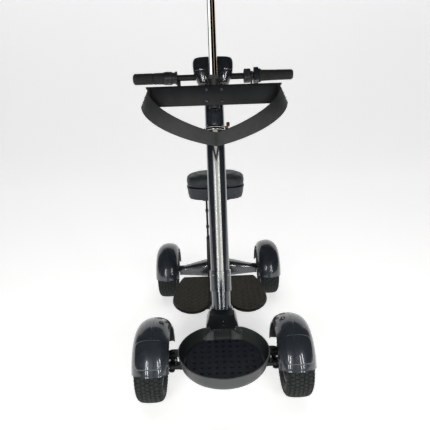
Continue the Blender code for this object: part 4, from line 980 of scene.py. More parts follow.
M_TAN = plain('tan_lever', (0.26, 0.17, 0.09), (0.34, 0.23, 0.13), 0.34, spec=0.5)
B = Build()
P = COL @ Matrix.Translation((0.0440, 0.0120, 0.0))
B.turn([(0.0, 0.6800), (0.0026, 0.6800), (0.0031, 0.6806), (0.0031, 0.6985), (0.0062, 0.6986), (0.0062, 0.7030),
        (0.0055, 0.7039), (0.0, 0.7040)], P, 28, mat=2)
B.slab(eased([(0.0402, 0.0150), (0.0478, 0.0150), (0.0502, -0.0250), (0.0446, -0.0250)], 0.0028), 0.6988, 0.7032,
       0.0010, mat=1, M=COL)
B.turn([(0.0, 0.6942), (0.0042, 0.6942), (0.0058, 0.6952), (0.0064, 0.6972), (0.0064, 0.7068), (0.0058, 0.7088),
        (0.0042, 0.7098), (0.0, 0.7098)], COL @ Matrix.Translation((0.0475, -0.0270, 0.0)), 32, mat=0)
make('quick_release_handle', B, [M_BROWN, M_TAN, M_STEEL], 'quick_release', ['quick_release_lever'],
     angle=40)

# bag plate
B = Build()
B.slab(eased([(-0.2204, 0.8262), (-0.2204, 0.7551), (0.2204, 0.7551), (0.2204, 0.8262)], 0.010, 6), 0.0956, 0.0980,
       0.0007, mat=0, M=COL @ XZY)
for sx in (1, -1):
    A = Build()
    A.slab(eased([(0.0228, -0.0979), (0.2384, -0.0979), (0.2384, -0.0712), (0.0228, -0.0712)], 0.006, 5), 0.8237,
           0.8264, 0.0008, M=COL)
    for x in (0.075, 0.145, 0.205):
        sheet_x(A, eased([(-0.0957, 0.8238), (-0.0745, 0.8238), (-0.0957, 0.7980)], 0.002), x - 0.0011, x + 0.0011,
                0.0003)
    A.slab(eased([(0.2190, 0.7600), (0.2330, 0.7640), (0.2330, 0.8236), (0.2190, 0.8236)], 0.002), 0.0935, 0.0954,
           0.0006, M=COL @ XZY)
    B.join(A if sx > 0 else A.mirrored())
for x in (-0.0270, 0.0270):
    for z in (0.7700, 0.8100):
        B.bolt((x, -0.0979, z), (0, -1, 0), 0.0043, 0.0026, 'socket', mat=1, dark=2, washer=0.0064, M=COL)
make('bag_plate_sheet', B, [M_SATIN, M_STEEL, M_RUBBER], 'column_top', ['bag_plate'], angle=35)

# strap: a stiff band with rounded edges, riveted at both ends
DROOP = math.radians(32.5)
AHEAD = Vector((0, -math.cos(DROOP), -math.sin(DROOP)))
STRAP0 = COL @ Vector((0, PLATE_Y - 0.003, 0.792))
COL_UP = (COL @ Vector((0, 0, 1)) - COL @ Vector((0, 0, 0))).normalized()


def strap_mid(u):
    x = 0.2412 * math.sin(u * PI / 2)
    return STRAP0 + Vector((x, 0, 0)) + AHEAD * (0.2419 * max(0.0, 1 - (abs(x) / 0.2432) ** 1.204) ** 0.5535)


def strap_frame(u):
    tan = (strap_mid(min(1, u + 0.01)) - strap_mid(max(-1, u - 0.01))).normalized()
    w = math.sqrt(u * u + 0.0004)                # the lean, eased where the two sides meet
    up = Vector((-0.11 * u, -1.01 * (1 - w) + 0.49 * w, 1.0)).normalized()
    nrm = tan.cross(up).normalized()
    return nrm.cross(tan).normalized(), nrm


B = Build()
stops = []
for k in range(121):
    u = -1 + 2 * k / 120
    up, nrm = strap_frame(u)
    stops.append((strap_mid(u), up, nrm, 0.0336))
for sx in (-1, 1):                               # both ends turn in to the plate
    end, foot = strap_mid(sx), COL @ Vector((sx * 0.2228, PLATE_Y - 0.0005, 0.7900))
    way = ((foot - end) if sx > 0 else (end - foot)).normalized()
    nrm1 = way.cross(COL_UP).normalized()
    up0, nrm0 = strap_frame(sx)
    turn = []
    for t in (0.25, 0.5, 0.75, 1.0):
        n1 = (nrm0.lerp(nrm1, min(1.0, t * 1.3))).normalized()
        u1 = (up0.lerp(COL_UP, t)).normalized()
        turn.append((end.lerp(foot, t), u1, n1, 0.0336 + (0.0303 - 0.0336) * t))
    stops = stops + turn if sx > 0 else list(reversed(turn)) + stops
# painted highlight: the band's left part, towards -X, is made lighter, fading near its end
rings, painted_shading = [], []
for mid, up, nrm, half in stops:
    band = rounded_rect(half, 0.0014, 0.0012, 3)
    rings.append([mid + up * a + nrm * b for a, b in band])
    for a, b in band:
        painted_shading.append(0.6 * smoothstep(-0.03, -0.12, mid.x) * (1 - 0.6 * smoothstep(0.215, 0.24, -mid.x)))
B.rings(rings)
for sx in (1, -1):
    A = Build()
    for lift in (-0.010, 0.010):
        up, nrm = strap_frame(0.955)
        if nrm.x < 0:
            nrm = -nrm
        A.bolt(strap_mid(0.955) + up * lift + nrm * 0.0013, nrm, 0.0042, 0.0020, 'dome', mat=1)
    B.join(A if sx > 0 else A.mirrored())
painted_shading += [0.0] * (len(B.v) - len(painted_shading))
make('bag_strap_band', B, [M_STRAP, M_STEEL, M_SATIN], 'column_top', ['bag_strap'], angle=40,
     painted_shading=painted_shading)

# umbrella holder, knob and pole
PM = COL @ Matrix.Translation((0, POLE_Y, 0))
B = Build()
B.turn([(POLE_R + 0.0004, 0.7480), (0.0184, 0.7480), (0.0190, 0.7488), (0.0190, 0.8478), (POLE_R + 0.0004, 0.8482)],
       PM, 64, closed=True)
for z in (0.7530, 0.7600):
    B.turn([(0.0186, z - 0.0014), (0.0194, z - 0.0008), (0.0194, z + 0.0008), (0.0186, z + 0.0014)], PM, 64, closed=True)
for sx in (1, -1):
    B.block(*sorted((sx * 0.0165, sx * 0.0214)), POLE_Y - 0.0080, POLE_Y + 0.0080, 0.7700, 0.8120, 0.0012, 0.0006,
            M=COL)
holed(B, [(x, POLE_Y + y) for x, y in superellipse(0, 0, 0.0219, 0.0177, 5, 72)], 0, POLE_Y, POLE_R + 0.0004, 0.8484,
      0.8640, 0.0010, M=COL)
B.block(-0.0340, -0.0205, POLE_Y - 0.0090, POLE_Y + 0.0050, 0.8500, 0.8620, 0.0020, 0.0008, M=COL)
B.bolt((-0.0275, POLE_Y - 0.0090, 0.8560), (0, -1, 0), 0.0036, 0.0022, 'socket', mat=1, M=COL)
B.bolt((-0.0340, POLE_Y - 0.0020, 0.8560), (-1, 0, 0), 0.0036, 0.0024, 'hex', mat=1, M=COL)
make('umbrella_clamp', B, [M_SATIN, M_STEEL], 'column_top', ['umbrella_holder'], angle=35)

B = Build()
KM = COL @ axis_x(0, POLE_Y, 0.8560)
rings = []
for x, r, lobe in ((0.0160, 0.0, 0), (0.0160, 0.0030, 0), (0.0224, 0.0030, 0), (0.0226, 0.0080, 0), (0.0232, 0.0098, 1),
                   (0.0246, 0.0105, 1), (0.0318, 0.0105, 1), (0.0333, 0.0099, 1), (0.0340, 0.0085, 0.5),
                   (0.0340, 0.0062, 0), (0.0333, 0.0056, 0), (0.0333, 0.0, 0)):
    rings.append([(max(r, 0.0002) * (1 - 0.09 * lobe * (0.5 + 0.5 * math.cos(10 * a)) ** 2) * math.cos(a),
                   max(r, 0.0002) * (1 - 0.09 * lobe * (0.5 + 0.5 * math.cos(10 * a)) ** 2) * math.sin(a), x)
                  for a in (2 * PI * k / 80 for k in range(80))])
B.rings(rings, M=KM)
make('clamp_knob_fluted', B, M_MOULD, 'mast_knob', ['clamp_knob'], angle=40)

B = Build()
B.turn([(0.0132, 0.7502), (0.0144, 0.7500), (0.0150, 0.7507), (0.0150, 1.1612), (0.0168, 1.1618), (0.0186, 1.1626),
        (0.0190, 1.1640), (0.0190, 1.2120), (0.0186, 1.2130), (0.0132, 1.2130)], PM, 80, closed=True)
B.turn([(0.0134, 1.2124), (0.0188, 1.2124), (0.0190, 1.2140), (0.0190, 1.2184), (0.0182, 1.2198), (0.0140, 1.2198),
        (0.0134, 1.2190)], PM, 80, closed=True, mat=1)
for z in (1.1700, 1.1740):
    B.turn([(0.0186, z - 0.0008), (0.0193, z), (0.0186, z + 0.0008)], PM, 80, closed=True)
B.bolt((0.0, 0.0188, 1.1950), (0, 1, 0), 0.0050, 0.0060, 'socket', mat=1, M=PM)
make('umbrella_pole_tube', B, [M_CHROME, M_MOULD], 'umbrella_mast', ['umbrella_pole'], angle=35)

# ------------------------------------------------------------------ handlebar
BM = COL @ axis_x(0, 0, S)                       # about the bar: local z runs along X
B = Build()
B.turn([(0.0, 0.6000), (0.0112, 0.6000), (0.0120, 0.6008), (0.0120, 0.8660), (0.0, 0.8660)], COL, 40)
holed(B, [(y, z) for y, z in superellipse(0, 0.8853, 0.0189, 0.0206, 6, 64)], 0, 0.8850, BAR_R + 0.0003, -0.0189, 0.0189,
      0.0010, M=COL @ YZX)
for x in (-0.0120, 0.0120):
    for z in (-0.0150, 0.0150):
        B.bolt((x, 0.0189, S + z), (0, 1, 0), 0.0030, 0.0024, 'socket', mat=1, M=COL)
make('stem_clamp', B, [M_ALU, M_STEEL], 'handlebar', ['steering_stem'], angle=38)

B = Build()
B.turn([(0.0090, -0.2899), (0.0107, -0.2899), (0.0111, -0.2895), (0.0111, 0.2895), (0.0107, 0.2899), (0.0090, 0.2899)],
       BM, 56, closed=True)
make('handlebar_bar', B, M_SATIN, 'handlebar', ['handlebar_tube'], angle=35)

B = Build()
knots = [(0.8521, 0.0520, 0.0262), (0.8528, 0.0550, 0.0292), (0.8560, 0.0574, 0.0318), (0.8700, 0.0628, 0.0368),
         (0.8850, 0.0684, 0.0393), (0.9000, 0.0728, 0.0408), (0.9180, 0.0750, 0.0413), (0.9340, 0.0749, 0.0409),
         (0.9420, 0.0731, 0.0394), (0.9470, 0.0698, 0.0366), (0.9500, 0.0625, 0.0308), (0.9508, 0.0480, 0.0200)]
pts = spline([(a, b, c) for a, b, c in knots], 60)
lev = [(p.x, p.y, p.z) for p in pts]
for z in (0.8985, 0.8990, 0.9000, 0.9005):       # the joint between the two halves
    i = max(k for k in range(len(lev)) if lev[k][0] < z)
    t = (z - lev[i][0]) / (lev[i + 1][0] - lev[i][0])
    d = 0.0007 if 0.8987 < z < 0.9003 else 0.0
    lev.insert(i + 1, (z, lev[i][1] * (1 - t) + lev[i + 1][1] * t - d, lev[i][2] * (1 - t) + lev[i + 1][2] * t - d))
B.rings([[(x, y, s) for x, y in superellipse(0, 0, hx, hy, 3.6, 96)] for s, hx, hy in lev], M=COL)
for x in (-0.0420, 0.0420):
    B.bolt((x, 0.0368, 0.8790), (0, 1, -0.25), 0.0026, 0.0012, 'dome', mat=1, M=COL)
make('dash_pod_shell', B, [M_GLOSS, M_STEEL], 'handlebar', ['dash_pod'], angle=30)

B = Build()
DM = COL @ Matrix.Translation((0, 0, -0.006)) @ XZB
B.slab([(x, z) for x, z in superellipse(0, 0.926, 0.0450, 0.0185, 5, 64)], 0.0405, 0.0458, 0.0010, mat=1, M=DM)
B.slab([(x, z) for x, z in superellipse(0, 0.926, 0.0405, 0.0148, 5, 64)], 0.0440, 0.0464, 0.0006, mat=0, M=DM)
for k in range(5):
    B.block(-0.0330 + k * 0.0060, -0.0290 + k * 0.0060, 0.9170, 0.9205, 0.0460, 0.0465, 0.0006, 0.0001, mat=2, M=DM)
for x0, x1, z0, z1 in ((0.0060, 0.0160, 0.9310, 0.9350), (-0.0320, -0.0060, 0.9300, 0.9312),
                       (-0.0320, -0.0140, 0.9335, 0.9347), (0.0220, 0.0300, 0.9180, 0.9260)):
    B.block(x0, x1, z0, z1, 0.0460, 0.0465, 0.0005, 0.0001, mat=2, M=DM)
make('dash_screen', B, [M_SCREEN, M_MOULD, M_MARK], 'handlebar', ['dash_display'], angle=30)


def bar_sleeve(B, x0, x1, table, groove=0.0, pitch=0.0042, span=(0.1, 0.93), ridges=0, mat=0, segs=72, ridge=0.0):
    """A hollow sleeve on the bar; table holds (share of the length, radius)."""
    n = max(12, int(abs(x1 - x0) / 0.0007))
    rings = [[((BAR_R + 0.0004) * math.cos(a), (BAR_R + 0.0004) * math.sin(a), x0)
              for a in (2 * PI * k / segs for k in range(segs))]]
    for i in range(n + 1):
        t = i / n
        for (t0, r0), (t1, r1) in zip(table, table[1:]):
            if t0 <= t <= t1:
                r = r0 + (r1 - r0) * smoothstep(0, 1, (t - t0) / max(1e-9, t1 - t0))
        on = smoothstep(span[0], span[0] + 0.03, t) * (1 - smoothstep(span[1] - 0.03, span[1], t))
        x = x0 + (x1 - x0) * t
        r -= groove * on * max(0.0, math.cos(2 * PI * x / pitch)) ** 2
        rings.append([((r - ridge * on * max(0.0, math.cos(ridges * a)) ** 2) * math.cos(a),
                       (r - ridge * on * max(0.0, math.cos(ridges * a)) ** 2) * math.sin(a), x)
                      for a in (2 * PI * k / segs for k in range(segs))])
    rings.append([((BAR_R + 0.0004) * math.cos(a), (BAR_R + 0.0004) * math.sin(a), x1)
                  for a in (2 * PI * k / segs for k in range(segs))])
    return B.rings(rings, closed=True, mat=mat, M=BM)


for side, x0, x1, table, span in (
        ('left', 0.1685, 0.2920, ((0, 0.0235), (0.008, 0.0245), (0.032, 0.0250), (0.045, 0.0244), (0.085, 0.0202),
                                  (0.5, 0.0190), (0.95, 0.0185), (0.985, 0.0178), (1, 0.0165)), (0.14, 0.94)),
        ('right', -0.2215, -0.2920, ((0, 0.0187), (0.03, 0.0200), (0.10, 0.0203), (0.9, 0.0203), (0.97, 0.0196),
                                     (1, 0.0180)), (0.10, 0.92))):
    B = Build()
    bar_sleeve(B, x0, x1, table, groove=0.0009, span=span)
    s1 = 1 if side == 'left' else -1
    B.turn([(0.0, s1 * 0.2914), (0.0160, s1 * 0.2914), (0.0163, s1 * 0.2924), (0.0156, s1 * 0.2940),
            (0.0135, s1 * 0.2953), (0.0060, s1 * 0.2957), (0.0055, s1 * 0.2950), (0.0, s1 * 0.2950)], BM, 56)
    make('grip_sleeve_' + side, B, M_RUBBER, 'handlebar', ['grip_' + side], angle=35)

B = Build()
bar_sleeve(B, -0.2203, -0.1806, ((0, 0.0194), (0.04, 0.0203), (0.1, 0.0205), (0.84, 0.0208), (0.90, 0.0216),
                                 (0.93, 0.0221), (0.98, 0.0221), (1, 0.0216)), ridges=13, ridge=0.0008, segs=104,
           span=(0.06, 0.84))
make('throttle_twist_sleeve', B, M_RUBBER, 'throttle', ['throttle_twist'], angle=40)

B = Build()
bar_sleeve(B, -0.1800, -0.1321, ((0, 0.0222), (0.02, 0.0232), (0.05, 0.0236), (0.53, 0.0236), (0.60, 0.0222),
                                 (0.64, 0.0206), (0.82, 0.0206), (0.86, 0.0232), (0.90, 0.0240), (0.98, 0.0240),
                                 (1, 0.0232)))
B.turn([(0.0226, -0.1690), (0.0240, -0.1684), (0.0240, -0.1672), (0.0226, -0.1666)], BM, 72, closed=True)
B.block(-0.1344, -0.1211, -0.0061, 0.0091, S - 0.0399, S - 0.0125, 0.0032, 0.0012, M=COL)
for y in (-1, 1):
    B.bolt((-0.1620, y * 0.0100, S - 0.0212), (0, y * 0.42, -0.9), 0.0024, 0.0016, 'socket', mat=1, M=COL)
make('throttle_body', B, [M_MOULD, M_STEEL], 'handlebar', ['throttle_housing'], angle=38)


def holed_loft(B, sections, n, count=64, mat=0):
    """Sections (x, half y, half z) along the bar, with the bar's hole through them."""
    c = [((BAR_R + 0.0003) * math.cos(2 * PI * k / count), (BAR_R + 0.0003) * math.sin(2 * PI * k / count))
         for k in range(count)]
    rings = [[(sections[0][0], y, S + z) for y, z in c]]
    rings += [[(x, y, S + z) for y, z in superellipse(0, 0, hy, hz, n, count)] for x, hy, hz in sections]
    rings.append([(sections[-1][0], y, S + z) for y, z in c])
    return B.rings(rings, closed=True, mat=mat, M=COL)


B = Build()
holed_loft(B, [(0.1130, 0.0196, 0.0208), (0.1134, 0.0210, 0.0224), (0.1144, 0.0221, 0.0236), (0.1156, 0.0225, 0.0240),
               (0.1249, 0.0225, 0.0240), (0.1252, 0.0220, 0.0235), (0.1258, 0.0220, 0.0235), (0.1261, 0.0225, 0.0240),
               (0.1354, 0.0225, 0.0240), (0.1366, 0.0221, 0.0236), (0.1376, 0.0210, 0.0224), (0.1380, 0.0196, 0.0208)],
           3.2)
B.turn([(0.0080, 0.0212), (0.0100, 0.0212), (0.0100, 0.0234), (0.0094, 0.0242), (0.0082, 0.0242)],
       COL @ Matrix.Translation((0.1255, 0, S)) @ TO_Y, 40, closed=True)
for z in (-0.0140, 0.0140):
    B.bolt((0.1200, -0.0222, S + z), (0, -1, 0), 0.0020, 0.0012, 'dome', mat=1, M=COL)
make('switch_pod_shell', B, [M_MOULD, M_STEEL], 'handlebar', ['switch_pod'], angle=38)

B = Build()
B.turn([(0.0, 0.0214), (0.0070, 0.0214), (0.0076, 0.0220), (0.0076, 0.0256), (0.0070, 0.0267), (0.0050, 0.0273),
        (0.0, 0.0275)], COL @ Matrix.Translation((0.1255, 0, S)) @ TO_Y, 40)
make('horn_cap', B, M_BROWN, 'horn', ['horn_button'], angle=38)

B = Build()
holed_loft(B, [(0.1480, 0.0205, 0.0258), (0.1483, 0.0222, 0.0278), (0.1490, 0.0236, 0.0298), (0.1504, 0.0244, 0.0309),
               (0.1656, 0.0244, 0.0309), (0.1670, 0.0236, 0.0298), (0.1677, 0.0222, 0.0278), (0.1680, 0.0205, 0.0258)],
           2.3)
B.bolt((0.1580, -0.0120, S - 0.0265), (0, -0.4, -0.9), 0.0028, 0.0018, 'socket', mat=1, M=COL)
make('brake_housing_shell', B, [M_GLOSS, M_STEEL], 'handlebar', ['brake_housing'], angle=30)

B = Build()
holed(B, [(0.0175 * math.cos(a), S + 0.0175 * math.sin(a)) for a in (2 * PI * k / 56 for k in range(56))], 0, S,
      BAR_R + 0.0004, 0.1396, 0.1467, 0.0010, M=COL @ YZX)
sheet_x(B, eased([(y, S + z) for y, z in ((0.0070, -0.0135), (0.0330, -0.0348), (0.0478, -0.0398), (0.0498, -0.0352),
                                         (0.0365, -0.0282), (0.0150, -0.0050))], 0.003), 0.1398, 0.1465, 0.0014)
sheet_x(B, eased([(y, S + z) for y, z in ((0.0348, -0.0352), (0.0478, -0.0398), (0.0498, -0.0352), (0.0372, -0.0294))],
                 0.0022), 0.1332, 0.1588, 0.0018)
for k in range(6):
    B.block(0.1350 + k * 0.0040, 0.1362 + k * 0.0040, 0.0400, 0.0470, S - 0.0330, S - 0.0322, 0.0004, 0.0002, M=COL)
make('brake_lever_blade', B, M_MOULD, 'brake', ['brake_lever'], angle=38)

for name, node, knots in (
        ('throttle_cable_hose', 'throttle_cable', [(-0.1275, 0.0015, -0.0404), (-0.1270, 0.0030, -0.0530),
                                                   (-0.1180, 0.0070, -0.0730), (-0.0980, 0.0100, -0.0820),
                                                   (-0.0760, 0.0110, -0.0700), (-0.0580, 0.0095, -0.0470),
                                                   (-0.0490, 0.0080, -0.0290)]),
        ('brake_cable_hose', 'brake_cable', [(0.1126, 0.0162, -0.0010), (0.1060, 0.0162, -0.0012),
                                             (0.0960, 0.0158, -0.0014), (0.0860, 0.0150, -0.0012),
                                             (0.0760, 0.0145, -0.0010), (0.0640, 0.0145, -0.0010)])):
    B = Build()
    pts = spline([(x, y, S + z) for x, y, z in knots], 64)
    B.tube(pts, 0.0023, 20, M=COL)
    B.tube(pts[1:7], 0.0028, 20, M=COL)
    make(name, B, M_RUBBER, 'handlebar', [node], angle=40)

# ------------------------------------------------------------------ front knuckles
for side, sx in (('left', 1), ('right', -1)):
    B = Build()
    holed(B, [(x, y) for x, y in superellipse(KING_X, 0, 0.0160, 0.0180, 9, 64)], KING_X, 0, 0.0064, 0.1285, 0.1715,
          0.0016)
    holed(B, [(KING_X + 0.0110 * math.cos(a), -ARM + 0.0100 * math.sin(a)) for a in (2 * PI * k / 40 for k in range(40))],
          KING_X, -ARM, 0.0063, 0.1441, 0.1519, 0.0010)
    B.slab([(KING_X - 0.0080, -0.0520), (KING_X + 0.0080, -0.0520), (KING_X + 0.0100, -0.0170), (KING_X - 0.0100, -0.0170)],
           0.1444, 0.1516, 0.0012)
    for x in (-0.0105, 0.0105):
        B.bolt((KING_X + x, -0.0178, 0.1617), (0, -1, 0), 0.0048, 0.0030, 'hex', mat=1)
    AM = Matrix.Translation((0, 0, AXLE_Z)) @ axis_x(0, 0, 0)
    B.turn([(0.0, 0.2030), (0.0110, 0.2030), (0.0110, 0.2128), (0.0104, 0.2138), (0.0085, 0.2140), (0.0085, 0.2995),
            (0.0, 0.2995)], AM, 40, mat=1)
    B.bolt((0.2986, 0, AXLE_Z), (1, 0, 0), 0.0124, 0.0092, 'hex', mat=1)
    B.block(0.2076, 0.2114, -0.0120, 0.0120, 0.1300, 0.2876, 0.0012, 0.0006)
    B.rings([[(x, y, z) for y, z in ((-0.0118, low), (0.0118, low), (0.0118, low + 0.0032), (-0.0118, low + 0.0032))]
             for x, low in ((0.2082, 0.2850), (0.2398, 0.2945))])
    B.bolt((0.2076, 0, 0.2780), (-1, 0, 0), 0.0046, 0.0012, 'hex', mat=1)
    B = B if sx > 0 else B.mirrored()
    for p in B.v:
        p.y += FRONT_Y + MIDDLE
    make('knuckle_cast_' + side, B, [M_SATIN, M_STEEL], 'knuckle_' + side[0], ['knuckle_' + side], angle=35)

# ------------------------------------------------------------------ deck
B = Build()
half = [(0.0480, 0.345), (0.0480, 0.078), (0.0560, 0.040), (0.0720, 0.012), (0.0950, -0.006), (0.1200, -0.013),
        (0.1480, -0.007), (0.1740, 0.010), (0.1960, 0.036), (0.2120, 0.066), (0.2205, 0.100), (0.2215, 0.140),
        (0.2180, 0.190), (0.2110, 0.240), (0.2010, 0.290), (0.1900, 0.330), (0.1800, 0.345)]
deck_pts = [(x + (0.0025 if x > 0.1 else 0), y - (0.003 if y < 0.06 else 0)) for x, y in half[1:]]
deck_pts[-1] = (0.1830, 0.3500)
outline = eased(deck_pts + [(-x, y) for x, y in reversed(deck_pts)], 0.010, 4)
B.slab(outline, DECK_Z, DECK_Z + 0.006, 0.0012, M=SHIFT, steps=3)
for x in (-0.030, 0.030):
    for y in (0.110, 0.215, 0.320):
        B.bolt((x, y, DECK_Z + 0.0058), (0, 0, 1), 0.0050, 0.0030, 'socket', mat=1, M=SHIFT)
for x in (-0.012, 0.012):                        # two pressed ribs along the middle
    B.block(x - 0.0030, x + 0.0030, 0.060, 0.340, DECK_Z + 0.0052, DECK_Z + 0.0074, 0.0028, 0.0008, M=SHIFT)
make('deck_sheet', B, [M_DECK, M_STEEL], 'frame', ['deck_plate'], angle=35)


def seg_dist(px, py, poly):
    best = 1.0
    for i in range(len(poly)):
        ax, ay = poly[i]
        bx, by = poly[(i + 1) % len(poly)]
        dx, dy = bx - ax, by - ay
        t = min(1.0, max(0.0, ((px - ax) * dx + (py - ay) * dy) / (dx * dx + dy * dy)))
        best = min(best, math.hypot(ax + dx * t - px, ay + dy * t - py))
    return best


edge = [(p.x, p.y) for p in spline([(x, y, 0) for x, y in half[1:-1]], 90)]
mat_line = [(0.0480, 0.345)] + edge + [(0.1800, 0.345)]


def row_range(y):
    xs = []
    for i in range(len(mat_line)):
        (ax, ay), (bx, by) = mat_line[i], mat_line[(i + 1) % len(mat_line)]
        if (ay - y) * (by - y) < 0:
            xs.append(ax + (bx - ax) * (y - ay) / (by - ay))
    return min(xs), max(xs)


rows_y = [-0.0128 + 0.0016 * (k / 12.0) ** 2 * 6 for k in range(12)]
y = rows_y[-1]
while y < 0.3440:
    y += 0.00185
    rows_y.append(min(y, 0.3447))
NX = 62
# painted highlight: the ribs' crests and the raised rim are coloured lighter brown
top_v, painted_shading = [], []
for y in rows_y:
    lo, hi = row_range(y)
    for i in range(NX + 1):
        x = lo + (hi - lo) * i / NX
        d = seg_dist(x, y, mat_line)
        rib = 0.5 + 0.5 * math.sin(2 * PI * (y + 0.0042 * math.sin(2 * PI * x / 0.027)) / 0.0135)
        rib = smoothstep(0.30, 0.75, rib)
        field = smoothstep(0.0065, 0.0085, d)
        rim = smoothstep(0.0, 0.0012, d) * (1 - smoothstep(0.0036, 0.0052, d))
        z = 0.0052 + 0.0024 * rib * field + 0.0030 * rim + 0.0006 * smoothstep(0.0, 0.0010, d)
        top_v.append((x, y, DECK_Z + 0.0062 + z))
        painted_shading.append(min(1.0, 0.75 * rib * field + 0.5 * rim))
for side, sx in (('left', 1), ('right', -1)):
    B = Build()
    cols = NX + 1
    n_top = len(top_v)
    loop = list(range(cols)) + [r * cols + NX for r in range(1, len(rows_y))] + \
        [(len(rows_y) - 1) * cols + i for i in range(NX - 1, -1, -1)] + [r * cols for r in range(len(rows_y) - 2, 0, -1)]
    verts = list(top_v) + [(top_v[i][0], top_v[i][1], DECK_Z + 0.0063) for i in loop]
    faces = []
    for r in range(len(rows_y) - 1):
        for i in range(NX):
            a = r * cols + i
            faces.append((a, a + 1, a + cols + 1, a + cols))
    m = len(loop)
    for i in range(m):
        j = (i + 1) % m
        faces.append((loop[j], loop[i], n_top + i, n_top + j))
    faces.append(tuple(n_top + i for i in range(m)))
    B.add(verts, faces, 0, SHIFT)
    if sx < 0:
        B = B.mirrored()
    make('foot_mat_ribbed_' + side, B, M_FOOT, 'frame', ['foot_mat_' + side], angle=60,
         painted_shading=painted_shading + [0.0] * m)

# ------------------------------------------------------------------ rear axle housing and seat pillar
B = Build()
secs = spline([(-0.2118, 0.0235, 0.1655), (-0.1750, 0.0260, 0.1710), (-0.1300, 0.0320, 0.1820),
               (-0.0850, 0.0400, 0.1930), (-0.0500, 0.0445, 0.1988), (-0.0200, 0.0449, 0.1999), (0.0200, 0.0449, 0.1999),
               (0.0500, 0.0445, 0.1988), (0.0850, 0.0400, 0.1930), (0.1300, 0.0320, 0.1820), (0.1750, 0.0260, 0.1710),
               (0.2118, 0.0235, 0.1655)], 70)


def low_of(x):
    return 0.108 + 0.0105 * min(1.0, max(0.0, (abs(x) - 0.045) / 0.167))


def arm_at(x, hy, top, grow=0.0, count=56):
    lo = low_of(x)
    return [(x, y, z) for y, z in superellipse(REAR_Y, (lo + top) / 2, hy + grow, (top - lo) / 2 + grow, 3.0, count)]


B.rings([arm_at(p.x, p.y, p.z) for p in secs], M=SHIFT)
for x0, x1, g in ((0.2035, 0.2114, 0.0), (0.0860, 0.0900, 0.0009)):
    for sx in (1, -1):
        def size(x):
            i = min(range(len(secs)), key=lambda k: abs(secs[k].x - x))
            return secs[i]
        rings = []
        for x, e in ((x0, -0.0006), (x0 + 0.0006, 0.0006 + g), (x1 - 0.0006, 0.0006 + g), (x1, -0.0006)):
            q = size(x)
            rings.append(arm_at(sx * x, q.y, q.z, e))
        B.rings(rings, M=SHIFT)
for sx in (1, -1):
    B.tube([(sx * 0.2100, REAR_Y, AXLE_Z), (sx * 0.3065, REAR_Y, AXLE_Z)], 0.0085, 32, mat=1, M=SHIFT)
    B.bolt((sx * 0.3058, REAR_Y, AXLE_Z), (sx, 0, 0), 0.0124, 0.0088, 'hex', mat=1, M=SHIFT)
    for x in (0.030, 0.062):
        B.bolt((sx * x, REAR_Y - 0.0335, 0.1905 if x > 0.05 else 0.1920), (0, -0.55, 0.83), 0.0042, 0.0026, 'socket', mat=1,
               M=SHIFT)
B.slab(eased([(-0.060, REAR_Y - 0.006), (0.060, REAR_Y - 0.006), (0.060, REAR_Y + 0.024), (-0.060, REAR_Y + 0.024)], 0.008, 5),
       0.1975, 0.1999, 0.0008, mat=2, M=SHIFT)
make('rear_housing_cast', B, [M_SILVER, M_STEEL, M_MOULD], 'frame', ['rear_axle_housing'], angle=38)

B = Build()
rings = []
pil = [(0.0585, 0.0365, 0.1503), (0.0586, 0.0364, 0.1600), (0.0580, 0.0350, 0.2600), (0.0567, 0.0323, 0.3560),
       (0.0562, 0.0316, 0.3610), (0.0545, 0.0300, 0.3634), (0.0520, 0.0276, 0.3640)]
for hx, hy, z in pil:
    rings.append([(x, y, z) for x, y in superellipse(0, POST_Y, hx, hy, 6, 72)])
circ = [math.atan2(p[1] - POST_Y, p[0]) for p in rings[0]]
for z in (0.3640, 0.1720):
    rings.append([(0.0165 * math.cos(a), POST_Y + 0.0165 * math.sin(a), z) for a in circ])
B.rings(rings, closed=True, M=SHIFT)
holed(B, [(0.0240 * math.cos(a), POST_Y + 0.0240 * math.sin(a)) for a in (2 * PI * k / 64 for k in range(64))], 0, POST_Y,
      0.0164, 0.3636, 0.3900, 0.0010, M=SHIFT)
for sx in (1, -1):
    B.block(*sorted((sx * 0.0014, sx * 0.0075)), POST_Y + 0.0200, POST_Y + 0.0400, 0.3650, 0.3858, 0.0016, 0.0006, M=SHIFT)
B.tube([(-0.0140, POST_Y + 0.0310, 0.3760), (0.0140, POST_Y + 0.0310, 0.3760)], 0.0032, 20, mat=1, M=SHIFT)
B.bolt((0.0075, POST_Y + 0.0310, 0.3760), (1, 0, 0), 0.0050, 0.0072, 'socket', mat=1, M=SHIFT)
B.bolt((-0.0075, POST_Y + 0.0310, 0.3760), (-1, 0, 0), 0.0050, 0.0060, 'hex', mat=1, M=SHIFT)
B.turn([(0.0062, 0.3636), (0.0094, 0.3636), (0.0094, 0.3660), (0.0086, 0.3680), (0.0062, 0.3684)],
       SHIFT @ Matrix.Translation((-0.0480, 0.3860, 0)), 32, closed=True, mat=2)
for sx in (1, -1):
    for z in (0.1750, 0.2100):
        B.bolt((sx * 0.0330, POST_Y - 0.0354, z), (0, -1, 0), 0.0042, 0.0026, 'hex', mat=1, M=SHIFT)
make('pillar_cover', B, [M_MOULD, M_STEEL, M_RUBBER], 'frame', ['seat_pillar'], angle=35)

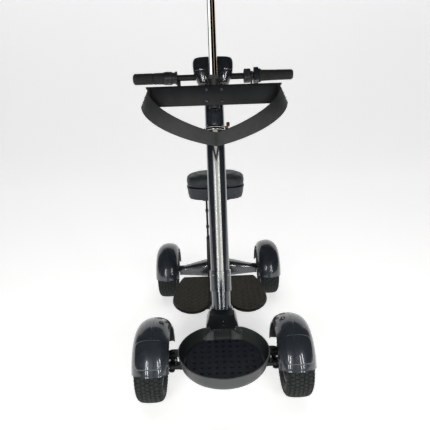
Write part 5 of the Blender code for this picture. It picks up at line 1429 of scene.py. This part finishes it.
# ------------------------------------------------------------------ seat
B = Build()
B.turn([(0.0130, 0.2601), (0.0155, 0.2600), (0.0160, 0.2606), (0.0160, 0.5690), (0.0130, 0.5690)],
       SHIFT @ Matrix.Translation((0, POST_Y, 0)), 64, closed=True)
B.block(-0.0700, 0.0700, POST_Y - 0.0300, POST_Y + 0.0900, 0.5682, 0.5742, 0.0100, 0.0010, mat=1, M=SHIFT)
B.turn([(0.0161, 0.5540), (0.0200, 0.5560), (0.0260, 0.5670), (0.0260, 0.5684), (0.0161, 0.5684)],
       SHIFT @ Matrix.Translation((0, POST_Y, 0)), 48, closed=True, mat=1)
for x in (-0.058, 0.058):
    for y in (-0.018, 0.078):
        B.bolt((x, POST_Y + y, 0.5684), (0, 0, -1), 0.0050, 0.0032, 'hex', mat=1, M=SHIFT)
make('seat_post_tube', B, [M_CHROME, M_SATIN], 'seat', ['seat_post'], angle=35)

B = Build()
pts, radii = [], []
n = 260
for i in range(n + 1):
    z = 0.3081 + (0.5676 - 0.3081) * i / n
    r = 0.0051 + 0.0006 * (0.5 + 0.5 * math.cos(2 * PI * z / 0.0034))
    for c in (0.5130, 0.4270):
        k = 1 - smoothstep(0.0070, 0.0095, abs(z - c))
        r = r * (1 - k) + 0.0079 * k
    pts.append((-0.0480, 0.3860, z))
    radii.append(r)
B.tube(pts, 0, 24, M=SHIFT, radii=radii)
make('seat_conduit_hose', B, M_RUBBER, 'seat', ['seat_conduit'], angle=50)


def seat_line(hx, hy, z, count=112, n=2.9):
    return [(x, y, z) for x, y in superellipse(0, SEAT_Y, hx, hy, n, count)]


B = Build()
base = spline([(0.1290, 0.0840, 0.5746), (0.1330, 0.0882, 0.5762), (0.1365, 0.0920, 0.5800), (0.1400, 0.0952, 0.5960),
               (0.1430, 0.0980, 0.6160), (0.1446, 0.0996, 0.6300), (0.1449, 0.0999, 0.6345), (0.1440, 0.0990, 0.6359)], 40)
B.rings([seat_line(p.x, p.y, p.z) for p in base], M=SHIFT)
for z, t in ((0.6335, 0.0), (0.5985, 0.0)):
    hx = 0.1447 if z > 0.62 else 0.1404
    hy = 0.0997 if z > 0.62 else 0.0956
    loop = []
    for k in range(10):
        a = 2 * PI * k / 10
        r = 0.0020 if z > 0.62 else 0.0010
        loop.append(seat_line(hx + r * math.cos(a), hy + r * math.cos(a), z + r * math.sin(a)))
    B.rings(loop, closed=True, mat=1, M=SHIFT)
make('seat_pan', B, [M_SEAT_LOW, M_THREAD], 'seat', ['seat_base'], angle=40)

B = Build()
cush = spline([(0.1240, 0.0790, 0.6372), (0.1400, 0.0940, 0.6376), (0.1446, 0.0986, 0.6420), (0.1462, 0.1002, 0.6560),
               (0.1462, 0.1002, 0.6700), (0.1430, 0.0970, 0.6820), (0.1330, 0.0872, 0.6890), (0.1000, 0.0600, 0.6915),
               (0.0500, 0.0300, 0.6920)], 46)
rings = [[(0.0 + x * 0.02, SEAT_Y + (y - SEAT_Y) * 0.02, 0.6372) for x, y, z in seat_line(0.12, 0.08, 0, 96)]]
rings += [seat_line(p.x, p.y, p.z, 96) for p in cush]
rings.append([(x * 0.05, SEAT_Y + (y - SEAT_Y) * 0.05, 0.6920) for x, y, z in seat_line(0.05, 0.03, 0, 96)])
B.rings(rings, M=SHIFT)
cushion = make('seat_cushion_soft', B, [M_SEAT], 'seat', ['seat_cushion'], angle=80)
cushion.parent = None
scene = bpy.context.scene


def held_in(p):
    """Keep a point of the cushion inside its space."""
    x, y, z = p.x, p.y - MIDDLE - SEAT_Y, p.z
    z = min(0.7012, max(0.6367, z))
    k = (abs(x) / 0.1512) ** 2.9 + (abs(y) / 0.1052) ** 2.9
    if k > 1:
        f = k ** (-1 / 2.9)
        x, y = x * f, y * f
    return Vector((x, y + MIDDLE + SEAT_Y, z))


bpy.context.view_layer.objects.active = cushion
md = cushion.modifiers.new('voxels', 'REMESH')
md.mode, md.voxel_size = 'VOXEL', 0.0045
dg = bpy.context.evaluated_depsgraph_get()
me = bpy.data.meshes.new_from_object(cushion.evaluated_get(dg))
cushion.modifiers.remove(md)
old = cushion.data
cushion.data = me
me.materials.clear()
me.materials.append(M_SEAT)
start = [v.co.copy() for v in me.vertices]
md = cushion.modifiers.new('cloth', 'CLOTH')
st = md.settings
st.quality, st.mass = 6, 0.3
st.tension_stiffness = st.compression_stiffness = 12.0
st.shear_stiffness, st.bending_stiffness = 6.0, 1.2
st.use_pressure, st.uniform_pressure_force = True, 4.0
st.effector_weights.gravity = 0.0
md.collision_settings.use_collision = False
md.point_cache.frame_start, md.point_cache.frame_end = 1, 20
for f in range(1, 21):
    scene.frame_set(f)
dg = bpy.context.evaluated_depsgraph_get()
sim = bpy.data.meshes.new_from_object(cushion.evaluated_get(dg))
moved = [v.co.copy() for v in sim.vertices]
cushion.modifiers.remove(md)
scene.frame_set(1)
inv = cushion.matrix_world.inverted()
for v, a, b in zip(me.vertices, start, moved):
    d = b - a
    if d.length > 0.009:
        d = d * (0.009 / d.length)
    v.co = inv @ held_in(cushion.matrix_world @ (a + d))
bpy.data.meshes.remove(sim)
md = cushion.modifiers.new('smooth', 'SUBSURF')
md.levels = md.render_levels = 1
dg = bpy.context.evaluated_depsgraph_get()
me = bpy.data.meshes.new_from_object(cushion.evaluated_get(dg))
cushion.modifiers.remove(md)
cushion.data = me
for v in me.vertices:
    v.co = cushion.matrix_world.inverted() @ held_in(cushion.matrix_world @ v.co)
me.shade_smooth()
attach(cushion, 'seat')

# welts and stitched lines laid on the finished cushion
tree = BVHTree.FromPolygons([cushion.matrix_world @ v.co for v in me.vertices], [tuple(p.vertices) for p in me.polygons])


def side_point(hx, hy, z, sink):
    out = []
    for x, y, _ in seat_line(hx, hy, z, 160):
        o = Vector((x, y + MIDDLE, z))
        c = Vector((x * 0.3, MIDDLE + SEAT_Y + (y - SEAT_Y) * 0.3, z))
        hit = tree.ray_cast(o, (c - o).normalized())
        p = hit[0] if hit[0] is not None else o * 0.93 + c * 0.07
        out.append(p + (c - o).normalized() * sink)
    return out


def loop_tube(B, line, r, mat=0, segs=8, twist=0.0):
    n = len(line)
    rings = []
    for i, p in enumerate(line):
        t = (line[(i + 1) % n] - line[i - 1]).normalized()
        u = Vector((0, 0, 1))
        u = (u - t * u.dot(t)).normalized()
        w = t.cross(u)
        rr = r * (1 + twist * math.sin(i * 2.4))
        rings.append([p + (u * math.cos(a) + w * math.sin(a)) * rr for a in (2 * PI * k / segs for k in range(segs))])
    return B.rings(rings, closed=True, mat=mat)


B = Build()
for z, r, sink in ((0.6425, 0.0019, 0.0006), (0.6530, 0.0008, 0.0004), (0.6610, 0.0008, 0.0004), (0.6690, 0.0008, 0.0004),
                   (0.6790, 0.0018, 0.0006)):
    loop_tube(B, side_point(0.170, 0.124, z, sink), r, mat=0 if r > 0.001 else 1, twist=0.0 if r > 0.001 else 0.25)
top_line = []
for x, y, _ in seat_line(0.104, 0.060, 0.0, 140):
    hit = tree.ray_cast(Vector((x, y + MIDDLE, 0.76)), Vector((0, 0, -1)))
    top_line.append((hit[0] if hit[0] is not None else Vector((x, y + MIDDLE, 0.70))) - Vector((0, 0, 0.0003)))
loop_tube(B, top_line, 0.0012, mat=1, twist=0.2)
make('seat_cushion_welts', B, [M_SEAT_LOW, M_THREAD], 'seat', angle=60)

# ------------------------------------------------------------------ stage, light and camera
def stage_mesh(name, verts, faces, mat):
    me = bpy.data.meshes.new(name)
    me.from_pydata(verts, [], faces)
    me.materials.append(mat)
    me.shade_smooth()
    ob = bpy.data.objects.new(name, me)
    bpy.context.scene.collection.objects.link(ob)
    return ob


n = Nodes('pale_floor')
M_FLOOR = n.set(Base_Color=n.mix(n.ramp(n.noise(1.5, 3.0, 0.5), 0.3, 0.7, 0.0, 1.0), (0.86, 0.86, 0.86),
                                 (0.88, 0.88, 0.88)), Roughness=0.9, Specular_IOR_Level=0.1,
              Emission_Color=(1.0, 1.0, 1.0, 1.0), Emission_Strength=0.60)
rows = []
for k in range(25):
    if k < 4:
        rows.append((-6.0 + k * 2.9, 0.0))
    else:
        a = PI / 2 * (k - 4) / 20
        rows.append((3.2 + 3.0 * math.sin(a), 3.0 - 3.0 * math.cos(a)))
rows.append((6.2, 7.0))
verts = [(x, y, z - 0.0004) for y, z in rows for x in (-9.0, 9.0)]
faces = [(2 * i, 2 * i + 1, 2 * i + 3, 2 * i + 2) for i in range(len(rows) - 1)]
floor = stage_mesh('floor', verts, faces, M_FLOOR)

world = bpy.data.worlds.new('pale_room')
bpy.context.scene.world = world
world.use_nodes = True
bg = world.node_tree.nodes['Background']
bg.inputs['Color'].default_value = (0.93, 0.96, 1.0, 1.0)
bg.inputs['Strength'].default_value = 0.90
if hasattr(world, 'cycles_visibility'):          # a pale backdrop that throws no light of its own
    world.cycles_visibility.diffuse = False
    world.cycles_visibility.glossy = False


def area(name, at, aim, sx, sy, power, colour=(1, 1, 1), shape='RECTANGLE'):
    li = bpy.data.lights.new(name, 'AREA')
    li.shape, li.size, li.size_y, li.energy, li.color = shape, sx, sy, power, colour
    ob = bpy.data.objects.new(name, li)
    bpy.context.scene.collection.objects.link(ob)
    ob.location = at
    ob.rotation_mode = 'QUATERNION'
    ob.rotation_quaternion = (Vector(aim) - Vector(at)).to_track_quat('-Z', 'Y')
    ob.visible_camera = False
    return ob


front = area('softbox_front', (0.0, -3.4, 2.2), (0, -0.2, 0.7), 3.4, 0.8, 45, (1.0, 0.985, 0.90))
front.visible_glossy = False
wide = area('softbox_column', (0.0, -3.4, 1.80), (0, -0.25, 0.8), 5.6, 1.8, 130, (1.0, 0.98, 0.86))
lit = bpy.data.collections.new('column_pieces')
for ob in bpy.data.objects:
    if ob.name in ('column_tube', 'column_foot_sleeve', 'column_slider', 'umbrella_clamp', 'neck_bell'):
        lit.objects.link(ob)
wide.light_linking.receiver_collection = lit
mast = bpy.data.collections.new('mast_pieces')
mast.objects.link(bpy.data.objects['umbrella_pole_tube'])
area('softbox_mast', (-3.0, -1.2, 3.6), (0, 0, 1.3), 4.0, 3.0, 60).light_linking.receiver_collection = mast
area('strip_mast', (2.0, -2.6, 3.2), (0, 0, 1.3), 0.6, 2.5, 3, (1.0, 0.72, 0.48)).light_linking.receiver_collection = mast
top = area('top_fill', (0.0, 0.3, 3.4), (0, 0, 0.3), 3.0, 3.0, 26)
top.visible_glossy = False
for x, y, w in ((-1.15, -2.6, 0.10), (-0.80, -2.8, 0.08), (0.95, -2.7, 0.10), (1.45, -2.4, 0.08)):
    area('strip_%d' % round(x * 100), (x, y, 1.15), (x * 0.2, -0.3, 0.2), w, 1.5, 10)

cam = bpy.data.cameras.new('camera')
cam.lens, cam.sensor_width, cam.sensor_fit = 36.0, 36.0, 'HORIZONTAL'
cam.clip_start, cam.clip_end = 0.05, 60.0
camera = bpy.data.objects.new('camera', cam)
bpy.context.scene.collection.objects.link(camera)
pitch, yaw, roll = math.radians(17.0), math.radians(0.39), math.radians(1.97)
fwd = Vector((math.sin(yaw) * math.cos(pitch), math.cos(yaw) * math.cos(pitch), -math.sin(pitch)))
right0 = Vector((math.cos(yaw), -math.sin(yaw), 0.0))
down0 = fwd.cross(right0)
right = right0 * math.cos(roll) + down0 * math.sin(roll)
up = right0 * math.sin(roll) - down0 * math.cos(roll)
camera.matrix_world = Matrix(((right.x, up.x, -fwd.x, -0.022), (right.y, up.y, -fwd.y, -1.7230),
                              (right.z, up.z, -fwd.z, 1.133), (0, 0, 0, 1)))
bpy.context.scene.camera = camera
bpy.context.scene.view_settings.view_transform = 'Standard'
bpy.context.scene.view_settings.look = 'None'

# ------------------------------------------------------------------ kept CAD nodes
for node, ob in NODES.items():
    if not ob.hide_render:
        m = M_SATIN if node.startswith('tie_rod') else KEPT.get(SLOT_OF.get(node), M_SATIN)
        if not ob.data.materials:
            ob.data.materials.append(m)
        for i in range(len(ob.material_slots)):
            ob.material_slots[i].link = 'OBJECT'
            ob.material_slots[i].material = m
